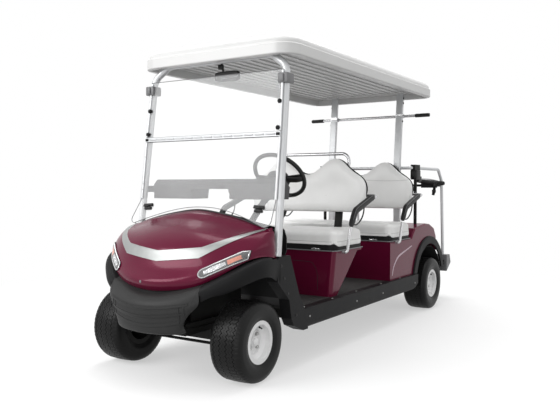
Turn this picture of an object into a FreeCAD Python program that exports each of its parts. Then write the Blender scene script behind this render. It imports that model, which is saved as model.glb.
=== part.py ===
import FreeCAD, Part
import math
import os
import types

import Sketcher
from FreeCAD import Placement, Rotation, Vector

# Four-seat electric golf cart.
# +X is the cart's left, -Y its front and +Z up; the origin is on the floor under the middle.
# Names that end in _y or _z give places along those axes; _y places count from the front axle.
SIZES = {
    "hair": 1,
    # running gear
    "front_axle_y": -1500,
    "wheelbase": 2700,
    "front_track": 900,
    "rear_track": 934,
    "tyre_radius": 228.5,
    "tyre_width": 210,
    "bead_radius": 104,
    "flange_radius": 122,
    "flange_thickness": 8,
    "bead_width": 166,
    "rim_thickness": 6,
    "disc_radius": 72,
    "disc_offset": 36,
    "disc_dish": 24,
    "hub_radius": 32,
    "hub_reach": 54,
    "hub_depth": 44,
    "spindle_radius": 17,
    "running_gap": 0.3,
    "kingpin_x": 335,
    "kingpin_radius": 10,
    "kingpin_eye_radius": 22,
    "kingpin_eye_height": 56,
    "knuckle_gap": 5,
    "knuckle_lug": 17,
    "knuckle_depth": 50,
    "knuckle_web": 20,
    "steering_arm": 110,
    "steering_arm_width": 24,
    "tie_rod_radius": 9,
    "tie_rod_drop": 26,
    "axle_beam_depth": 50,
    "axle_beam_height": 40,
    "housing_radius": 38,
    "drum_radius": 82,
    "drum_inner_x": 382,
    "drum_thickness": 35,
    "differential_radius": 95,
    "differential_width": 150,
    "motor_radius": 92,
    "motor_length": 230,
    "spring_x": 290,
    "spring_width": 45,
    "spring_length": 660,
    "spring_thickness": 14,
    "spring_rise": 26,
    # frame and floor
    "rail_x": 190,
    "rail_width": 50,
    "rail_base_z": 270,
    "rail_height": 65,
    "rail_front_y": -250,
    "rail_rear_y": 3300,
    "crossmember_width": 50,
    "splash_thickness": 5,
    "splash_front_y": -175,
    "splash_rear_y": 300,
    "splash_top_z": 470,
    "floor_z": 350,
    "floor_front_y": 431,
    "cabin_half_width": 500,
    "sill_width": 62,
    "sill_low_z": 225,
    "sill_front_y": 470,
    "sill_rear_y": 2350,
    "sill_slant": 100,
    "sill_round": 28,
    # nose
    "cowl_half_width": 555,
    "cowl_rear_y": 140,
    "cowl_depth": 435,
    "cowl_low_z": 512,
    "cowl_height": 434,
    "shell_thickness": 4,
    "trim_thickness": 3,
    "trim_kink_x": 272,
    "trim_end_x": 508,
    "trim_low_z": 672,
    "trim_kink_rise": 27,
    "trim_end_rise": 170,
    "trim_height": 58,
    "trim_end_height": 13,
    "lamp_front_x": 322,
    "lamp_front_z": 622,
    "lamp_rear_x": 500,
    "lamp_rear_z": 716,
    "lamp_half_height": 26,
    "lamp_thickness": 6,
    "bumper_inset": 247,
    "bumper_root_y": -190,
    "bumper_depth": 187,
    "bumper_low_z": 282,
    "bumper_height": 278,
    "bumper_thickness": 8,
    "fender_swell": 3,
    "fender_rear_y": 152,
    "fender_depth": 425,
    "fender_top_z": 700,
    "leg_width": 72,
    "leg_lap": 24,
    "seat_run": 70,
    "seat_lap": 12,
    "seat_gap": 0.4,
    "leg_top_z": 690,
    "leg_top_rear_y": 276,
    "leg_corner_run": 14,
    "leg_corner_drop": 30,
    "leg_waist_y": 367,
    "leg_waist_z": 449,
    "arch_top_z": 542,
    "arch_waist_y": 252,
    "arch_waist_z": 431,
    "arch_foot_y": 278,
    "liner_thickness": 6,
    "liner_half_width": 530,
    "liner_knee_z": 590,
    # dashboard and steering
    "dash_low_z": 1012,
    "dash_height": 124,
    "dash_front_y": 246,
    "dash_depth": 170,
    "dash_half_width": 480,
    "dash_notch_width": 290,
    "dash_notch_height": 62,
    "column_x": 219,
    "column_radius": 20,
    "column_tilt": 42,
    "wheel_centre_y": 700,
    "column_length": 640,
    "wheel_centre_z": 1162,
    "wheel_ring_radius": 178,
    "wheel_grip_radius": 14,
    "wheel_hub_radius": 48,
    "wheel_hub_depth": 40,
    "wheel_spoke_width": 34,
    "wheel_spoke_thickness": 9,
    "shroud_radius": 34,
    "shroud_length": 190,
    "pedal_width": 78,
    "pedal_length": 110,
    "pedal_thickness": 10,
    "pedal_y": 352,
    "pedal_z": 430,
    "pedal_tilt": 58,
    "pedal_stem": 60,
    "brake_x": 150,
    "throttle_x": 270,
    # windshield, hoop, struts and roof
    "hoop_radius": 23,
    "hoop_foot_x": 541,
    "hoop_foot_y": 173,
    "hoop_head_x": 519,
    "hoop_head_y": 312,
    "hoop_head_z": 1797,
    "hoop_top_x": 405,
    "hoop_top_y": 330,
    "hoop_bend": 90,
    "glass_thickness": 5,
    "glass_half_width": 528,
    "glass_shoulder_z": 1010,
    "glass_fold_z": 1382,
    "glass_top_z": 1776,
    "glass_foot_z": 842,
    "glass_foot_half_width": 548,
    "glass_skirt_rise": 126,
    "glass_skirt_run": 103,
    "glass_corner": 34,
    "glass_gap": 1.5,
    "glass_taper": 10,
    "fold_bar_height": 26,
    "fold_bar_depth": 14,
    "roof_under_z": 1905,
    "roof_lip_drop": 45,
    "roof_front_y": 238,
    "roof_length": 2396,
    "roof_half_width": 588,
    "roof_lip_height": 68,
    "roof_crown": 68,
    "roof_crown_inset": 9,
    "roof_crown_run": 190,
    "roof_corner_radius": 120,
    "roof_edge_round": 8,
    "roof_rib_pitch": 72,
    "roof_rib_width": 16,
    "roof_rib_height": 8,
    "roof_hollow_inset": 42,
    "roof_pad_depth": 80,
    "roof_hollow_depth": 10,
    "rear_strut_x": 322,
    "rear_strut_width": 60,
    "rear_strut_depth": 30,
    "rear_strut_y": 2458,
    "rear_strut_knee_z": 1300,
    "rear_strut_lean": 62,
    "back_bracket_low_z": 1130,
    "back_bracket_high_z": 1215,
    "back_bracket_gap": 0.5,
    "rear_strut_head_x": 332,
    "grip_bar_z": 1708,
    "grip_bar_half_width": 581,
    "grip_bar_radius": 12,
    "mirror_z": 1750,
    "mirror_y": 380,
    "mirror_x": 18,
    "mirror_length": 195,
    "mirror_height": 54,
    "mirror_round": 9,
    "mirror_depth": 26,
    "mirror_stem": 16,
    # seats
    "row_pitch": 920,
    "base_front_y": 899,
    "base_foot_front_y": 893,
    "base_foot_rear_y": 1010,
    "base_top_rear_y": 1290,
    "base_foot_half_width": 500,
    "base_half_width": 528,
    "base_top_z": 655,
    "base_round": 30,
    "base_wall": 6,
    "base_lip": 3,
    "rim_height": 15,
    "rim_rear_y": 1330,
    "pan_gap": 0.5,
    "pan_height": 43,
    "pan_round": 60,
    "cushion_gap": 0.3,
    "cushion_height": 91,
    "cushion_length": 439,
    "cushion_half_width": 530,
    "cushion_round": 28,
    "lid_hinge_y": 1345,
    "lid_hinge_z": 668,
    "back_bottom_z": 887,
    "back_bottom_y": 1392,
    "back_thickness": 70,
    "back_tilt": 7,
    "back_half_width": 514,
    "back_side_height": 175,
    "back_hump_height": 433,
    "back_hump_x": 264,
    "back_dip_height": 314,
    "back_round": 22,
    "back_corner": 45,
    "post_x": 262,
    "post_width": 58,
    "post_thickness": 16,
    "post_top_z": 1120,
    "post_gap": 1,
    "post_knee_z": 760,
    "post_bend": 100,
    "post_y": 1442,
    "rail_tube_radius": 12.5,
    "handrail_z": 1340,
    "handrail_gap": 6,
    "handrail_foot": 60,
    "handrail_x": 330,
    "arm_tube_radius": 11,
    "arm_gap": 1.5,
    "arm_x": 566,
    "arm_foot_y": 1005,
    "arm_foot_z": 646,
    "arm_knee_y": 1055,
    "arm_knee_z": 805,
    "arm_elbow_y": 1130,
    "arm_elbow_z": 912,
    "arm_end_y": 1400,
    "arm_end_z": 1000,
    "arm_pad_radius": 17,
    # rear body
    "tail_front_y": 1820,
    "tail_half_width": 532,
    "tail_wall": 6,
    "tail_round": 14,
    "tail_deck_z": 735,
    "tail_hump_z": 765,
    "tail_end_y": 2882,
    "well_y": 2675,
    "well_z": 262,
    "well_radius": 322,
    "well_inner_x": 336,
    "hatch_margin": 45,
    "flare_half_width": 548,
    "flare_width": 66,
    "flare_foot_z": 352,
    "battery_half_width": 400,
    "battery_length": 360,
    "battery_height": 250,
    "rack_x": 450,
    "rack_z": 1252,
    "rack_radius": 14,
    "rack_bend_y": 3150,
    "rack_foot_y": 3300,
    "rack_bend": 110,
    "rack_bend_run": 100,
    "rack_post_y": 2560,
    "rack_clamp_length": 120,
    "rack_clamp_height": 56,
    "rack_clamp_width": 40,
    "holder_z": 1100,
    "holder_radius": 12,
    "holder_pad_length": 150,
    "holder_pad_height": 46,
    "holder_pad_depth": 40,
    "holder_pad_x": 330,
    "bag_deck_front_y": 2945,
    "bag_deck_rear_y": 3262,
    "bag_deck_half_width": 480,
    "bag_deck_height": 45,
    "bag_deck_lip": 12,
    "tail_bumper_half_width": 505,
    "tail_bumper_low_z": 272,
    "tail_bumper_front_y": 3262,
    "tail_bumper_tip_y": 3380,
    "tail_bumper_tip_z": 348,
    "tail_bumper_top_y": 3346,
    "tail_bumper_top_z": 429,
    "tail_lamp_radius": 42,
    "tail_lamp_depth": 18,
    "tail_lamp_x": 420,
    "tail_lamp_z": 590,
}

# Bows of the cowl from its foot to its rear arch: shares of half width, depth and height.
COWL_SHARES = [
    [(0, 1, 0), (.27, .966, .025), (.54, .855, .104), (.775, .678, .272),
     (.937, .448, .417), (1.009, .207, .433), (.991, -.011, .394)],
    [(0, .995, .203), (.27, .960, .219), (.54, .846, .276), (.775, .672, .378),
     (.937, .452, .498), (1.013, .207, .537), (.991, -.005, .514)],
    [(0, .885, .369), (.27, .855, .389), (.54, .759, .447), (.775, .593, .530),
     (.933, .379, .610), (1.0, .184, .636), (.991, .005, .606)],
    [(0, .837, .512), (.27, .802, .528), (.54, .701, .565), (.757, .540, .629),
     (.901, .333, .682), (.973, .172, .698), (.987, .016, .698)],
    [(0, .480, .800), (.27, .465, .787), (.54, .410, .757), (.739, .322, .740),
     (.865, .225, .748), (.937, .132, .752), (.973, .023, .744)],
    [(0, .262, .912), (.27, .253, .886), (.54, .225, .838), (.731, .180, .797),
     (.853, .134, .776), (.925, .084, .768), (.965, .020, .757)],
    [(0, .023, 1.0), (.27, .023, .965), (.54, .028, .901), (.721, .037, .839),
     (.838, .041, .797), (.910, .034, .779), (.955, .018, .767)],
]

# Rows of the bumper from the tucked top edge to the bottom return.
BUMPER_SHARES = [
    [(0, .481, .838), (.333, .428, .863), (.667, .294, .928), (1, .053, 1.043)],
    [(0, .684, .752), (.333, .642, .777), (.667, .535, .842), (1, .321, .971)],
    [(0, .920, .647), (.333, .872, .662), (.667, .722, .712), (1, .455, .838)],
    [(0, 1, .417), (.333, .947, .432), (.667, .802, .489), (1, .492, .622)],
    [(0, .973, .299), (.333, .920, .309), (.667, .775, .371), (.909, .508, .514)],
    [(0, .952, .065), (.303, .909, .065), (.576, .791, .083), (.758, .588, .173)],
    [(0, .749, 0), (.273, .722, .007), (.515, .588, .029), (.682, .428, .083)],
]

# Stations of the fender from the bumper joint to the leg, each from the inner top edge outward.
FENDER_SHARES = [
    [(.525, .878, .580), (.557, .965, .557), (.578, .995, .457), (.574, .965, .343)],
    [(.698, .751, .740), (.742, .830, .709), (.768, .853, .600), (.734, .818, .451)],
    [(.855, .560, .903), (.904, .626, .871), (.927, .636, .743), (.882, .626, .577)],
    [(.942, .360, .985), (.980, .395, .965), (1.003, .395, .843), (.993, .384, .686)],
    [(.957, .188, .985), (.991, .184, .970), (1.006, .170, .829), (.996, .165, .643)],
    [(.950, 0, .965), (.986, 0, .950), (1.003, 0, .743), (.996, 0, .549)],
]

# Upper edge of a backrest beyond the middle hump: shares of half width and hump height.
BACK_EDGE_SHARES = [(.93, .63), (.72, .82), (.60, .95)]

doc = FreeCAD.newDocument("GolfCart")


# The roof's edge in section, as shares of its run inward and of its rise over the lip.
ROOF_SHARES = [(0, 0), (.055, .50), (.16, .76), (.40, .93), (1, 1)]

# The lower edge of the windshield, as shares of its half width and of its rise from the corners.
SKIRT_SHARES = [(-1, 0), (-.66, .5), (-.33, .86), (0, 1), (.33, .86), (.66, .5), (1, 0)]

# The inner panel's side view, as shares of its reach back and of its drop to the floor.
LINER_SHARES = [
    (0.096, 0.000), (0.206, 0.111), (0.419, 0.186), (0.502, 0.262), (0.502, 0.388),
    (0.419, 0.460), (0.378, 0.648), (0.653, 0.883), (1.000, 1.000)]


class Size(float):
    """A number that remembers the sheet expression that gives it."""

    def __new__(cls, value, text):
        made = super().__new__(cls, value)
        made.text = text
        return made


def text_of(value):
    return value.text if isinstance(value, Size) else repr(float(value))


def operation(sign, result):
    def forward(self, other):
        return Size(result(float(self), float(other)), f"({self.text} {sign} {text_of(other)})")

    def backward(self, other):
        return Size(result(float(other), float(self)), f"({text_of(other)} {sign} {self.text})")

    return forward, backward


Size.__add__, Size.__radd__ = operation("+", lambda a, b: a + b)
Size.__sub__, Size.__rsub__ = operation("-", lambda a, b: a - b)
Size.__mul__, Size.__rmul__ = operation("*", lambda a, b: a * b)
Size.__truediv__, Size.__rtruediv__ = operation("/", lambda a, b: a / b)
Size.__neg__ = lambda self: Size(-float(self), f"(-1 * {self.text})")


def write_sheet(table):
    sheet = doc.addObject("Spreadsheet::Sheet", "Sizes")
    for row, (alias, value) in enumerate(table.items(), start=1):
        sheet.set(f"A{row}", alias)
        sheet.set(f"B{row}", str(value))
        sheet.setAlias(f"B{row}", alias)
    doc.recompute()
    return types.SimpleNamespace(**{a: Size(sheet.get(a), f"Sizes.{a}") for a in table})


s = write_sheet(SIZES)
nodes = []

X, Y, Z = Vector(1, 0, 0), Vector(0, 1, 0), Vector(0, 0, 1)
TURNS = {"x": Rotation(Y, 90), "y": Rotation(X, -90), "z": Rotation()}


def fore(y):
    """Turns a place counted from the front axle into the part's own Y."""
    return s.front_axle_y + y


def bind(thing, **sizes):
    for name, value in sizes.items():
        setattr(thing, name, float(value))
        thing.setExpression(name, text_of(value))


def place(thing, x=0, y=0, z=0, turn=Rotation()):
    thing.Placement = Placement(Vector(x, y, z), turn)
    for axis, value in (("x", x), ("y", y), ("z", z)):
        if isinstance(value, Size):
            thing.setExpression("Placement.Base." + axis, value.text)
    return thing


def node(label, thing):
    """Keeps an object as a piece of the cart under its own name."""
    thing.Label = label
    nodes.append(thing)
    return thing


def box(name, lengths, corner):
    solid = doc.addObject("Part::Box", name)
    bind(solid, Length=lengths[0], Width=lengths[1], Height=lengths[2])
    return place(solid, *corner)


def bar_across(name, half_width, depth, height, y, z):
    """A box that runs from side to side, the same on both sides."""
    return box(name, (2 * half_width, depth, height), (-half_width, y, z))


def rod(name, radius, length, start, along="z"):
    solid = doc.addObject("Part::Cylinder", name)
    bind(solid, Radius=radius, Height=length)
    return place(solid, *start, turn=TURNS[along])


def fused(name, pieces):
    whole = doc.addObject("Part::MultiFuse", name)
    whole.Shapes = pieces
    return whole


def cut(name, base, tool):
    rest = doc.addObject("Part::Cut", name)
    rest.Base, rest.Tool = base, tool
    return rest


def mirrored(name, source):
    copy = doc.addObject("Part::Mirroring", name)
    copy.Source, copy.Normal = source, X
    return copy


def both_sides(name, left):
    pair = doc.addObject("Part::Compound", name)
    pair.Links = [left, mirrored(name + "_right", left)]
    return pair


def shaped(name, shape):
    thing = doc.addObject("Part::Feature", name)
    thing.Shape = shape
    return thing


def outline(body, plane, corners):
    """A closed sketch on one of the body's planes, with each corner held by the sheet."""
    sketch = body.newObject("Sketcher::SketchObject", body.Name + "_outline")
    support = [item for item in body.Origin.OriginFeatures if item.Role == plane + "_Plane"]
    sketch.AttachmentSupport = [(support[0], "")]
    sketch.MapMode = "FlatFace"
    count = len(corners)
    for here in range(count):
        start, end = corners[here], corners[(here + 1) % count]
        sketch.addGeometry(Part.LineSegment(Vector(*start, 0), Vector(*end, 0)), False)
    for here in range(count):
        sketch.addConstraint(Sketcher.Constraint("Coincident", here, 2, (here + 1) % count, 1))
    for here, corner in enumerate(corners):
        for kind, value in zip(("DistanceX", "DistanceY"), corner):
            number = sketch.addConstraint(Sketcher.Constraint(kind, -1, 1, here, 1, float(value)))
            if isinstance(value, Size):
                sketch.setExpression(f"Constraints[{number}]", value.text)
    return sketch


def padded(name, plane, corners, length, middle=False):
    body = doc.addObject("PartDesign::Body", name)
    sketch = outline(body, plane, corners)
    pad = body.newObject("PartDesign::Pad", name + "_pad")
    pad.Profile = sketch
    pad.Midplane = middle
    bind(pad, Length=length)
    doc.recompute()
    return body


def turned(name, corners):
    """A body turned about its own X axis."""
    body = doc.addObject("PartDesign::Body", name)
    sketch = outline(body, "XZ", corners)
    spin = body.newObject("PartDesign::Revolution", name + "_turn")
    spin.Profile = sketch
    spin.ReferenceAxis = (sketch, ["H_Axis"])
    spin.Angle = 360
    doc.recompute()
    return body


def runs_along(edge, direction):
    if len(edge.Vertexes) != 2 or edge.Curve.TypeId != "Part::GeomLine":
        return False
    run = edge.Vertexes[1].Point - edge.Vertexes[0].Point
    return abs(run.normalize().dot(direction)) > .999


def rounded(body, radius, wanted):
    """Rounds the chosen edges of the body's last feature."""
    base = body.Tip
    names = [f"Edge{i}" for i, edge in enumerate(base.Shape.Edges, 1) if wanted(edge)]
    fillet = body.newObject("PartDesign::Fillet", base.Name + "_round")
    fillet.Base = (base, names)
    bind(fillet, Radius=radius)
    doc.recompute()
    return body


def bent_wire(points, bend):
    """Straight runs joined by tangent arcs."""
    edges, start = [], points[0]
    for before, corner, after in zip(points, points[1:], points[2:]):
        inward, outward = (before - corner).normalize(), (after - corner).normalize()
        half = inward.getAngle(outward) / 2
        reach = bend / math.tan(half)
        reach = min(reach, (before - corner).Length * .48, (after - corner).Length * .48)
        centre_way = (inward + outward).normalize()
        distance = reach / math.cos(half)
        middle = corner + centre_way * (distance - reach * math.tan(half))
        first, last = corner + inward * reach, corner + outward * reach
        edges.append(Part.LineSegment(start, first).toShape())
        edges.append(Part.Arc(first, middle, last).toShape())
        start = last
    edges.append(Part.LineSegment(start, points[-1]).toShape())
    return Part.Wire(edges)


def tube_shape(points, radius, bend):
    path = bent_wire(points, bend)
    way = points[1] - points[0]
    ring = Part.Wire(Part.makeCircle(radius, points[0], way))
    return path.makePipeShell([ring], True, False)


def tube(name, points, radius, bend):
    return shaped(name, tube_shape([Vector(*p) for p in points], float(radius), float(bend)))


def skin(rows):
    surface = Part.BSplineSurface()
    surface.interpolate(rows)
    return surface.toShape()


def thick(face, thickness):
    return face.makeOffsetShape(float(thickness), .01, fill=True)


def facing(face, way):
    """1 where the middle of a face looks along a direction, otherwise -1."""
    u0, u1, v0, v1 = face.ParameterRange
    return 1 if face.normalAt((u0 + u1) / 2, (v0 + v1) / 2).dot(way) > 0 else -1


def round_ring(half, front, rear, z, radius):
    """A flat rectangle with rounded corners, the same on both sides."""
    turn = radius * (1 - math.sqrt(.5))
    edges, ends = [], []
    for x_way, y_way, y_edge in ((1, 1, front), (1, -1, rear), (-1, -1, rear), (-1, 1, front)):
        x_edge = x_way * half
        along_y = Vector(x_edge, y_edge + y_way * radius, z)
        along_x = Vector(x_edge - x_way * radius, y_edge, z)
        middle = Vector(x_edge - x_way * turn, y_edge + y_way * turn, z)
        first, last = (along_x, along_y) if x_way == y_way else (along_y, along_x)
        ends.append((first, last))
        edges.append(Part.Arc(first, middle, last).toShape())
    sides = [Part.makeLine(ends[i][1], ends[(i + 1) % 4][0]) for i in range(4)]
    return Part.Wire([edge for pair in zip(edges, sides) for edge in pair])


def flip(point):
    return Vector(-point.x, point.y, point.z)


def across(half_rows):
    """Completes rows given for the left half with their mirror image."""
    return [[flip(p) for p in reversed(row[1:])] + row for row in half_rows]


def wheel(side_name, x_sign, y, track, hub_depth):
    """A tyre and its stepped steel rim, both turned about the wheel's axis."""
    half, bead = s.tyre_width / 2, s.bead_width / 2
    side = s.tyre_radius - s.bead_radius
    right = [
        (bead, s.bead_radius), (bead, s.bead_radius + side * .17),
        (half - side * .04, s.bead_radius + side * .28), (half, s.bead_radius + side * .5),
        (half - side * .03, s.bead_radius + side * .77), (half - side * .15, s.bead_radius + side * .93),
        (half - side * .42, s.tyre_radius),
    ]
    left = [(-x, radius) for x, radius in reversed(right)]
    tyre = turned("tyre_" + side_name, right + left)
    wall = s.rim_thickness
    bore = s.spindle_radius + s.running_gap
    lip = bead + s.flange_thickness
    rim = turned("rim_" + side_name, [
        (-lip, s.flange_radius), (-bead, s.flange_radius), (-bead, s.bead_radius),
        (bead, s.bead_radius), (bead, s.flange_radius), (lip, s.flange_radius),
        (lip, s.bead_radius - wall), (s.disc_offset + s.disc_dish, s.bead_radius - wall),
        (s.disc_offset + wall * 2, s.disc_radius), (s.disc_offset, s.disc_radius - wall),
        (s.disc_offset, s.hub_radius + wall), (s.hub_reach, s.hub_radius - wall / 2),
        (s.hub_reach, bore), (-hub_depth, bore), (-hub_depth, s.hub_radius + wall),
        (s.disc_offset - wall, s.hub_radius + wall), (s.disc_offset - wall, s.disc_radius),
        (s.disc_offset + wall, s.disc_radius + wall),
        (s.disc_offset + wall * 2, s.bead_radius - wall * 2), (-lip, s.bead_radius - wall * 2),
    ])
    turn = Rotation() if x_sign > 0 else Rotation(Z, 180)
    for label, body in (("tyre_", tyre), ("rim_", rim)):
        place(body, x_sign * track / 2, y, s.tyre_radius, turn)
        node(label + side_name, body)


def knuckle(side_name, x_sign):
    """The yoke round a kingpin eye, with the wheel's spindle and its steering arm."""
    z = s.tyre_radius
    eye_half = s.kingpin_eye_height / 2 + s.knuckle_gap
    depth = s.knuckle_depth
    inner = s.kingpin_x - depth / 2
    web_x = s.kingpin_x + s.kingpin_eye_radius + s.knuckle_gap
    reach = web_x + s.knuckle_web - inner
    y = fore(0)
    height = 2 * (eye_half + s.knuckle_lug)
    upper = box("lug_top_" + side_name, (reach, depth, s.knuckle_lug), (inner, y - depth / 2, z + eye_half))
    lower = box("lug_low_" + side_name, (reach, depth, s.knuckle_lug),
                (inner, y - depth / 2, z - eye_half - s.knuckle_lug))
    web = box("web_" + side_name, (s.knuckle_web, depth, height),
              (web_x, y - depth / 2, z - eye_half - s.knuckle_lug))
    spindle = rod("spindle_" + side_name, s.spindle_radius,
                  s.front_track / 2 + s.hub_reach - web_x, (web_x, y, z), "x")
    arm = box("arm_" + side_name, (s.steering_arm_width, s.steering_arm, s.knuckle_lug),
              (inner, y, z - eye_half - s.knuckle_lug))
    pin_hole = rod("pin_hole_" + side_name, s.kingpin_radius + s.running_gap, height * 2,
                   (s.kingpin_x, y, z - height))
    blank = fused("yoke_blank_" + side_name, [upper, lower, web, spindle, arm])
    body = cut("yoke_" + side_name, blank, pin_hole)
    if x_sign < 0:
        body = mirrored("yoke_mirror_" + side_name, body)
    node("knuckle_" + side_name, body)


def front_axle():
    """The beam between the kingpin eyes, its two pins and the pads that carry the frame."""
    z, y = s.tyre_radius, fore(0)
    beam = bar_across("axle_beam", s.kingpin_x, s.axle_beam_depth, s.axle_beam_height,
                      y - s.axle_beam_depth / 2, z - s.axle_beam_height / 2)
    lug_end = s.kingpin_eye_height / 2 + s.knuckle_gap + s.knuckle_lug
    pieces = [beam]
    for side, x in (("left", s.kingpin_x), ("right", -s.kingpin_x)):
        pieces.append(rod("eye_" + side, s.kingpin_eye_radius, s.kingpin_eye_height,
                          (x, y, z - s.kingpin_eye_height / 2)))
        pieces.append(rod("kingpin_" + side, s.kingpin_radius, 2 * lug_end, (x, y, z - lug_end)))
    pad_z = z + s.axle_beam_height / 2
    for side, x in (("left", s.rail_x), ("right", -s.rail_x)):
        pieces.append(box("axle_pad_" + side, (s.rail_width, s.axle_beam_depth, s.rail_base_z - pad_z),
                          (x - s.rail_width / 2, y - s.axle_beam_depth / 2, pad_z)))
    whole = fused("axle_blank", pieces)
    node("front_axle", whole)


def tie_rod():
    """The rod under the two steering arms, with a stud below each arm's end."""
    inner = s.kingpin_x - s.knuckle_depth / 2
    x = inner + s.steering_arm_width / 2
    y = fore(s.steering_arm - s.steering_arm_width / 2)
    arm_low = s.tyre_radius - s.kingpin_eye_height / 2 - s.knuckle_gap - s.knuckle_lug
    z = arm_low - s.tie_rod_drop
    body = [rod("tie_bar", s.tie_rod_radius, 2 * x, (-x, y, z), "x")]
    for side, at in (("left", x), ("right", -x)):
        body.append(rod("tie_stud_" + side, s.tie_rod_radius, s.tie_rod_drop - s.pan_gap, (at, y, z)))
        body.append(rod("tie_end_" + side, s.tie_rod_radius * 1.4, s.tie_rod_radius * 2.6,
                        (at, y, z - s.tie_rod_radius * 1.3)))
    node("tie_rod", fused("tie_rod_whole", body))


def rear_axle():
    """The driven axle: housing, differential, motor, brake drums and two leaf springs."""
    y, z = fore(s.wheelbase), s.tyre_radius
    half = s.rear_track / 2
    pieces = [
        rod("housing", s.housing_radius, 2 * s.drum_inner_x, (-s.drum_inner_x, y, z), "x"),
        rod("half_shafts", s.spindle_radius, 2 * (half + s.hub_reach), (-half - s.hub_reach, y, z), "x"),
        rod("differential", s.differential_radius, s.differential_width,
            (-s.differential_width / 2, y, z), "x"),
        rod("motor", s.motor_radius, s.motor_length,
            (-s.motor_length / 2, y + s.differential_radius + s.motor_radius / 2, z), "x"),
    ]
    for side, x in (("left", s.drum_inner_x), ("right", -s.drum_inner_x - s.drum_thickness)):
        pieces.append(rod("drum_" + side, s.drum_radius, s.drum_thickness, (x, y, z), "x"))
    low = float(z + s.housing_radius)
    reach, rise = float(s.spring_length) / 2, float(s.spring_rise)
    leaf = float(s.spring_thickness)
    centre_y = float(y)

    def arch(lift):
        ends = [Vector(0, centre_y - reach, low + rise + lift), Vector(0, centre_y, low + lift),
                Vector(0, centre_y + reach, low + rise + lift)]
        return ends, Part.Arc(*ends).toShape()

    lower_ends, lower_arc = arch(0)
    upper_ends, upper_arc = arch(leaf)
    face = Part.Face(Part.Wire([
        lower_arc, Part.makeLine(lower_ends[2], upper_ends[2]), upper_arc,
        Part.makeLine(upper_ends[0], lower_ends[0])]))
    width = float(s.spring_width)
    left_leaf = face.extrude(Vector(width, 0, 0))
    left_leaf.translate(Vector(float(s.spring_x) - width / 2, 0, 0))
    hangers = []
    rail_outer = float(s.rail_x + s.rail_width / 2)
    for end in (lower_ends[0], lower_ends[2]):
        top = end.z + leaf
        hanger = Part.makeBox(float(s.spring_x) + width / 2 - rail_outer, width,
                              float(s.rail_base_z + s.rail_height) - top,
                              Vector(rail_outer, end.y - width / 2, top))
        hangers.append(hanger)
    left = left_leaf.fuse(hangers).removeSplitter()
    right = left.mirror(Vector(0, 0, 0), X)
    pieces.append(shaped("leaf_springs", Part.makeCompound([left, right])))
    node("rear_axle", fused("rear_axle_whole", pieces))


def chassis():
    """Two rails from nose to tail, tied by cross members."""
    length = s.rail_rear_y - s.rail_front_y
    rails = [box("rail_" + side, (s.rail_width, length, s.rail_height),
                 (x - s.rail_width / 2, fore(s.rail_front_y), s.rail_base_z))
             for side, x in (("left", s.rail_x), ("right", -s.rail_x))]
    wide = s.cabin_half_width
    cross = []
    spots = [("nose", s.rail_front_y, s.rail_x), ("toe", s.sill_front_y, wide),
             ("row", s.base_foot_rear_y, wide), ("aft", s.tail_front_y, wide),
             ("deck", s.tail_bumper_front_y - s.crossmember_width, s.rail_x)]
    for name, y, half in spots:
        cross.append(bar_across("cross_" + name, half, s.crossmember_width, s.rail_height,
                                fore(y), s.rail_base_z))
    top = s.rail_base_z + s.rail_height
    walls = []
    for side, x in (("left", s.rail_x), ("right", -s.rail_x)):
        walls.append(box("splash_" + side,
                         (s.splash_thickness, s.splash_rear_y - s.splash_front_y, s.splash_top_z - top),
                         (x - s.splash_thickness / 2, fore(s.splash_front_y), top)))
    node("chassis_frame", fused("chassis_whole", rails + cross + walls))


def floor():
    top = s.rail_base_z + s.rail_height
    plate = bar_across("floor_plate", s.cabin_half_width, s.tail_front_y - s.floor_front_y,
                       s.floor_z - top, fore(s.floor_front_y), top)
    node("floor", plate)


def sills():
    """The hollow outer sill of each side, slanted where it ends before the rear wheel."""
    low, high = s.sill_low_z, s.floor_z
    front, rear = fore(s.sill_front_y), fore(s.sill_rear_y)
    body = padded("sill", "YZ", [(front, low), (rear - s.sill_slant, low), (rear, low + s.sill_slant / 2),
                                 (rear, high), (front, high)], s.sill_width)
    rounded(body, s.sill_round, lambda e: (runs_along(e, Y) and e.BoundBox.XMin > s.hair
                                           and e.BoundBox.ZMax < float(high - s.hair)))
    place(body, x=s.cabin_half_width)
    node("sills", both_sides("sills", body))


def cowl_rows():
    rows = []
    for bow in COWL_SHARES:
        rows.append([Vector(x * s.cowl_half_width, fore(s.cowl_rear_y) - y * s.cowl_depth,
                            s.cowl_low_z + z * s.cowl_height) for x, y, z in bow])
    return across(rows)


def prism_y(corners, front, rear):
    """A block along Y whose outline lies in the front view."""
    points = [Vector(x, front, z) for x, z in corners]
    face = Part.Face(Part.makePolygon(points + [points[0]]))
    return face.extrude(Vector(0, rear - front, 0))


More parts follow.
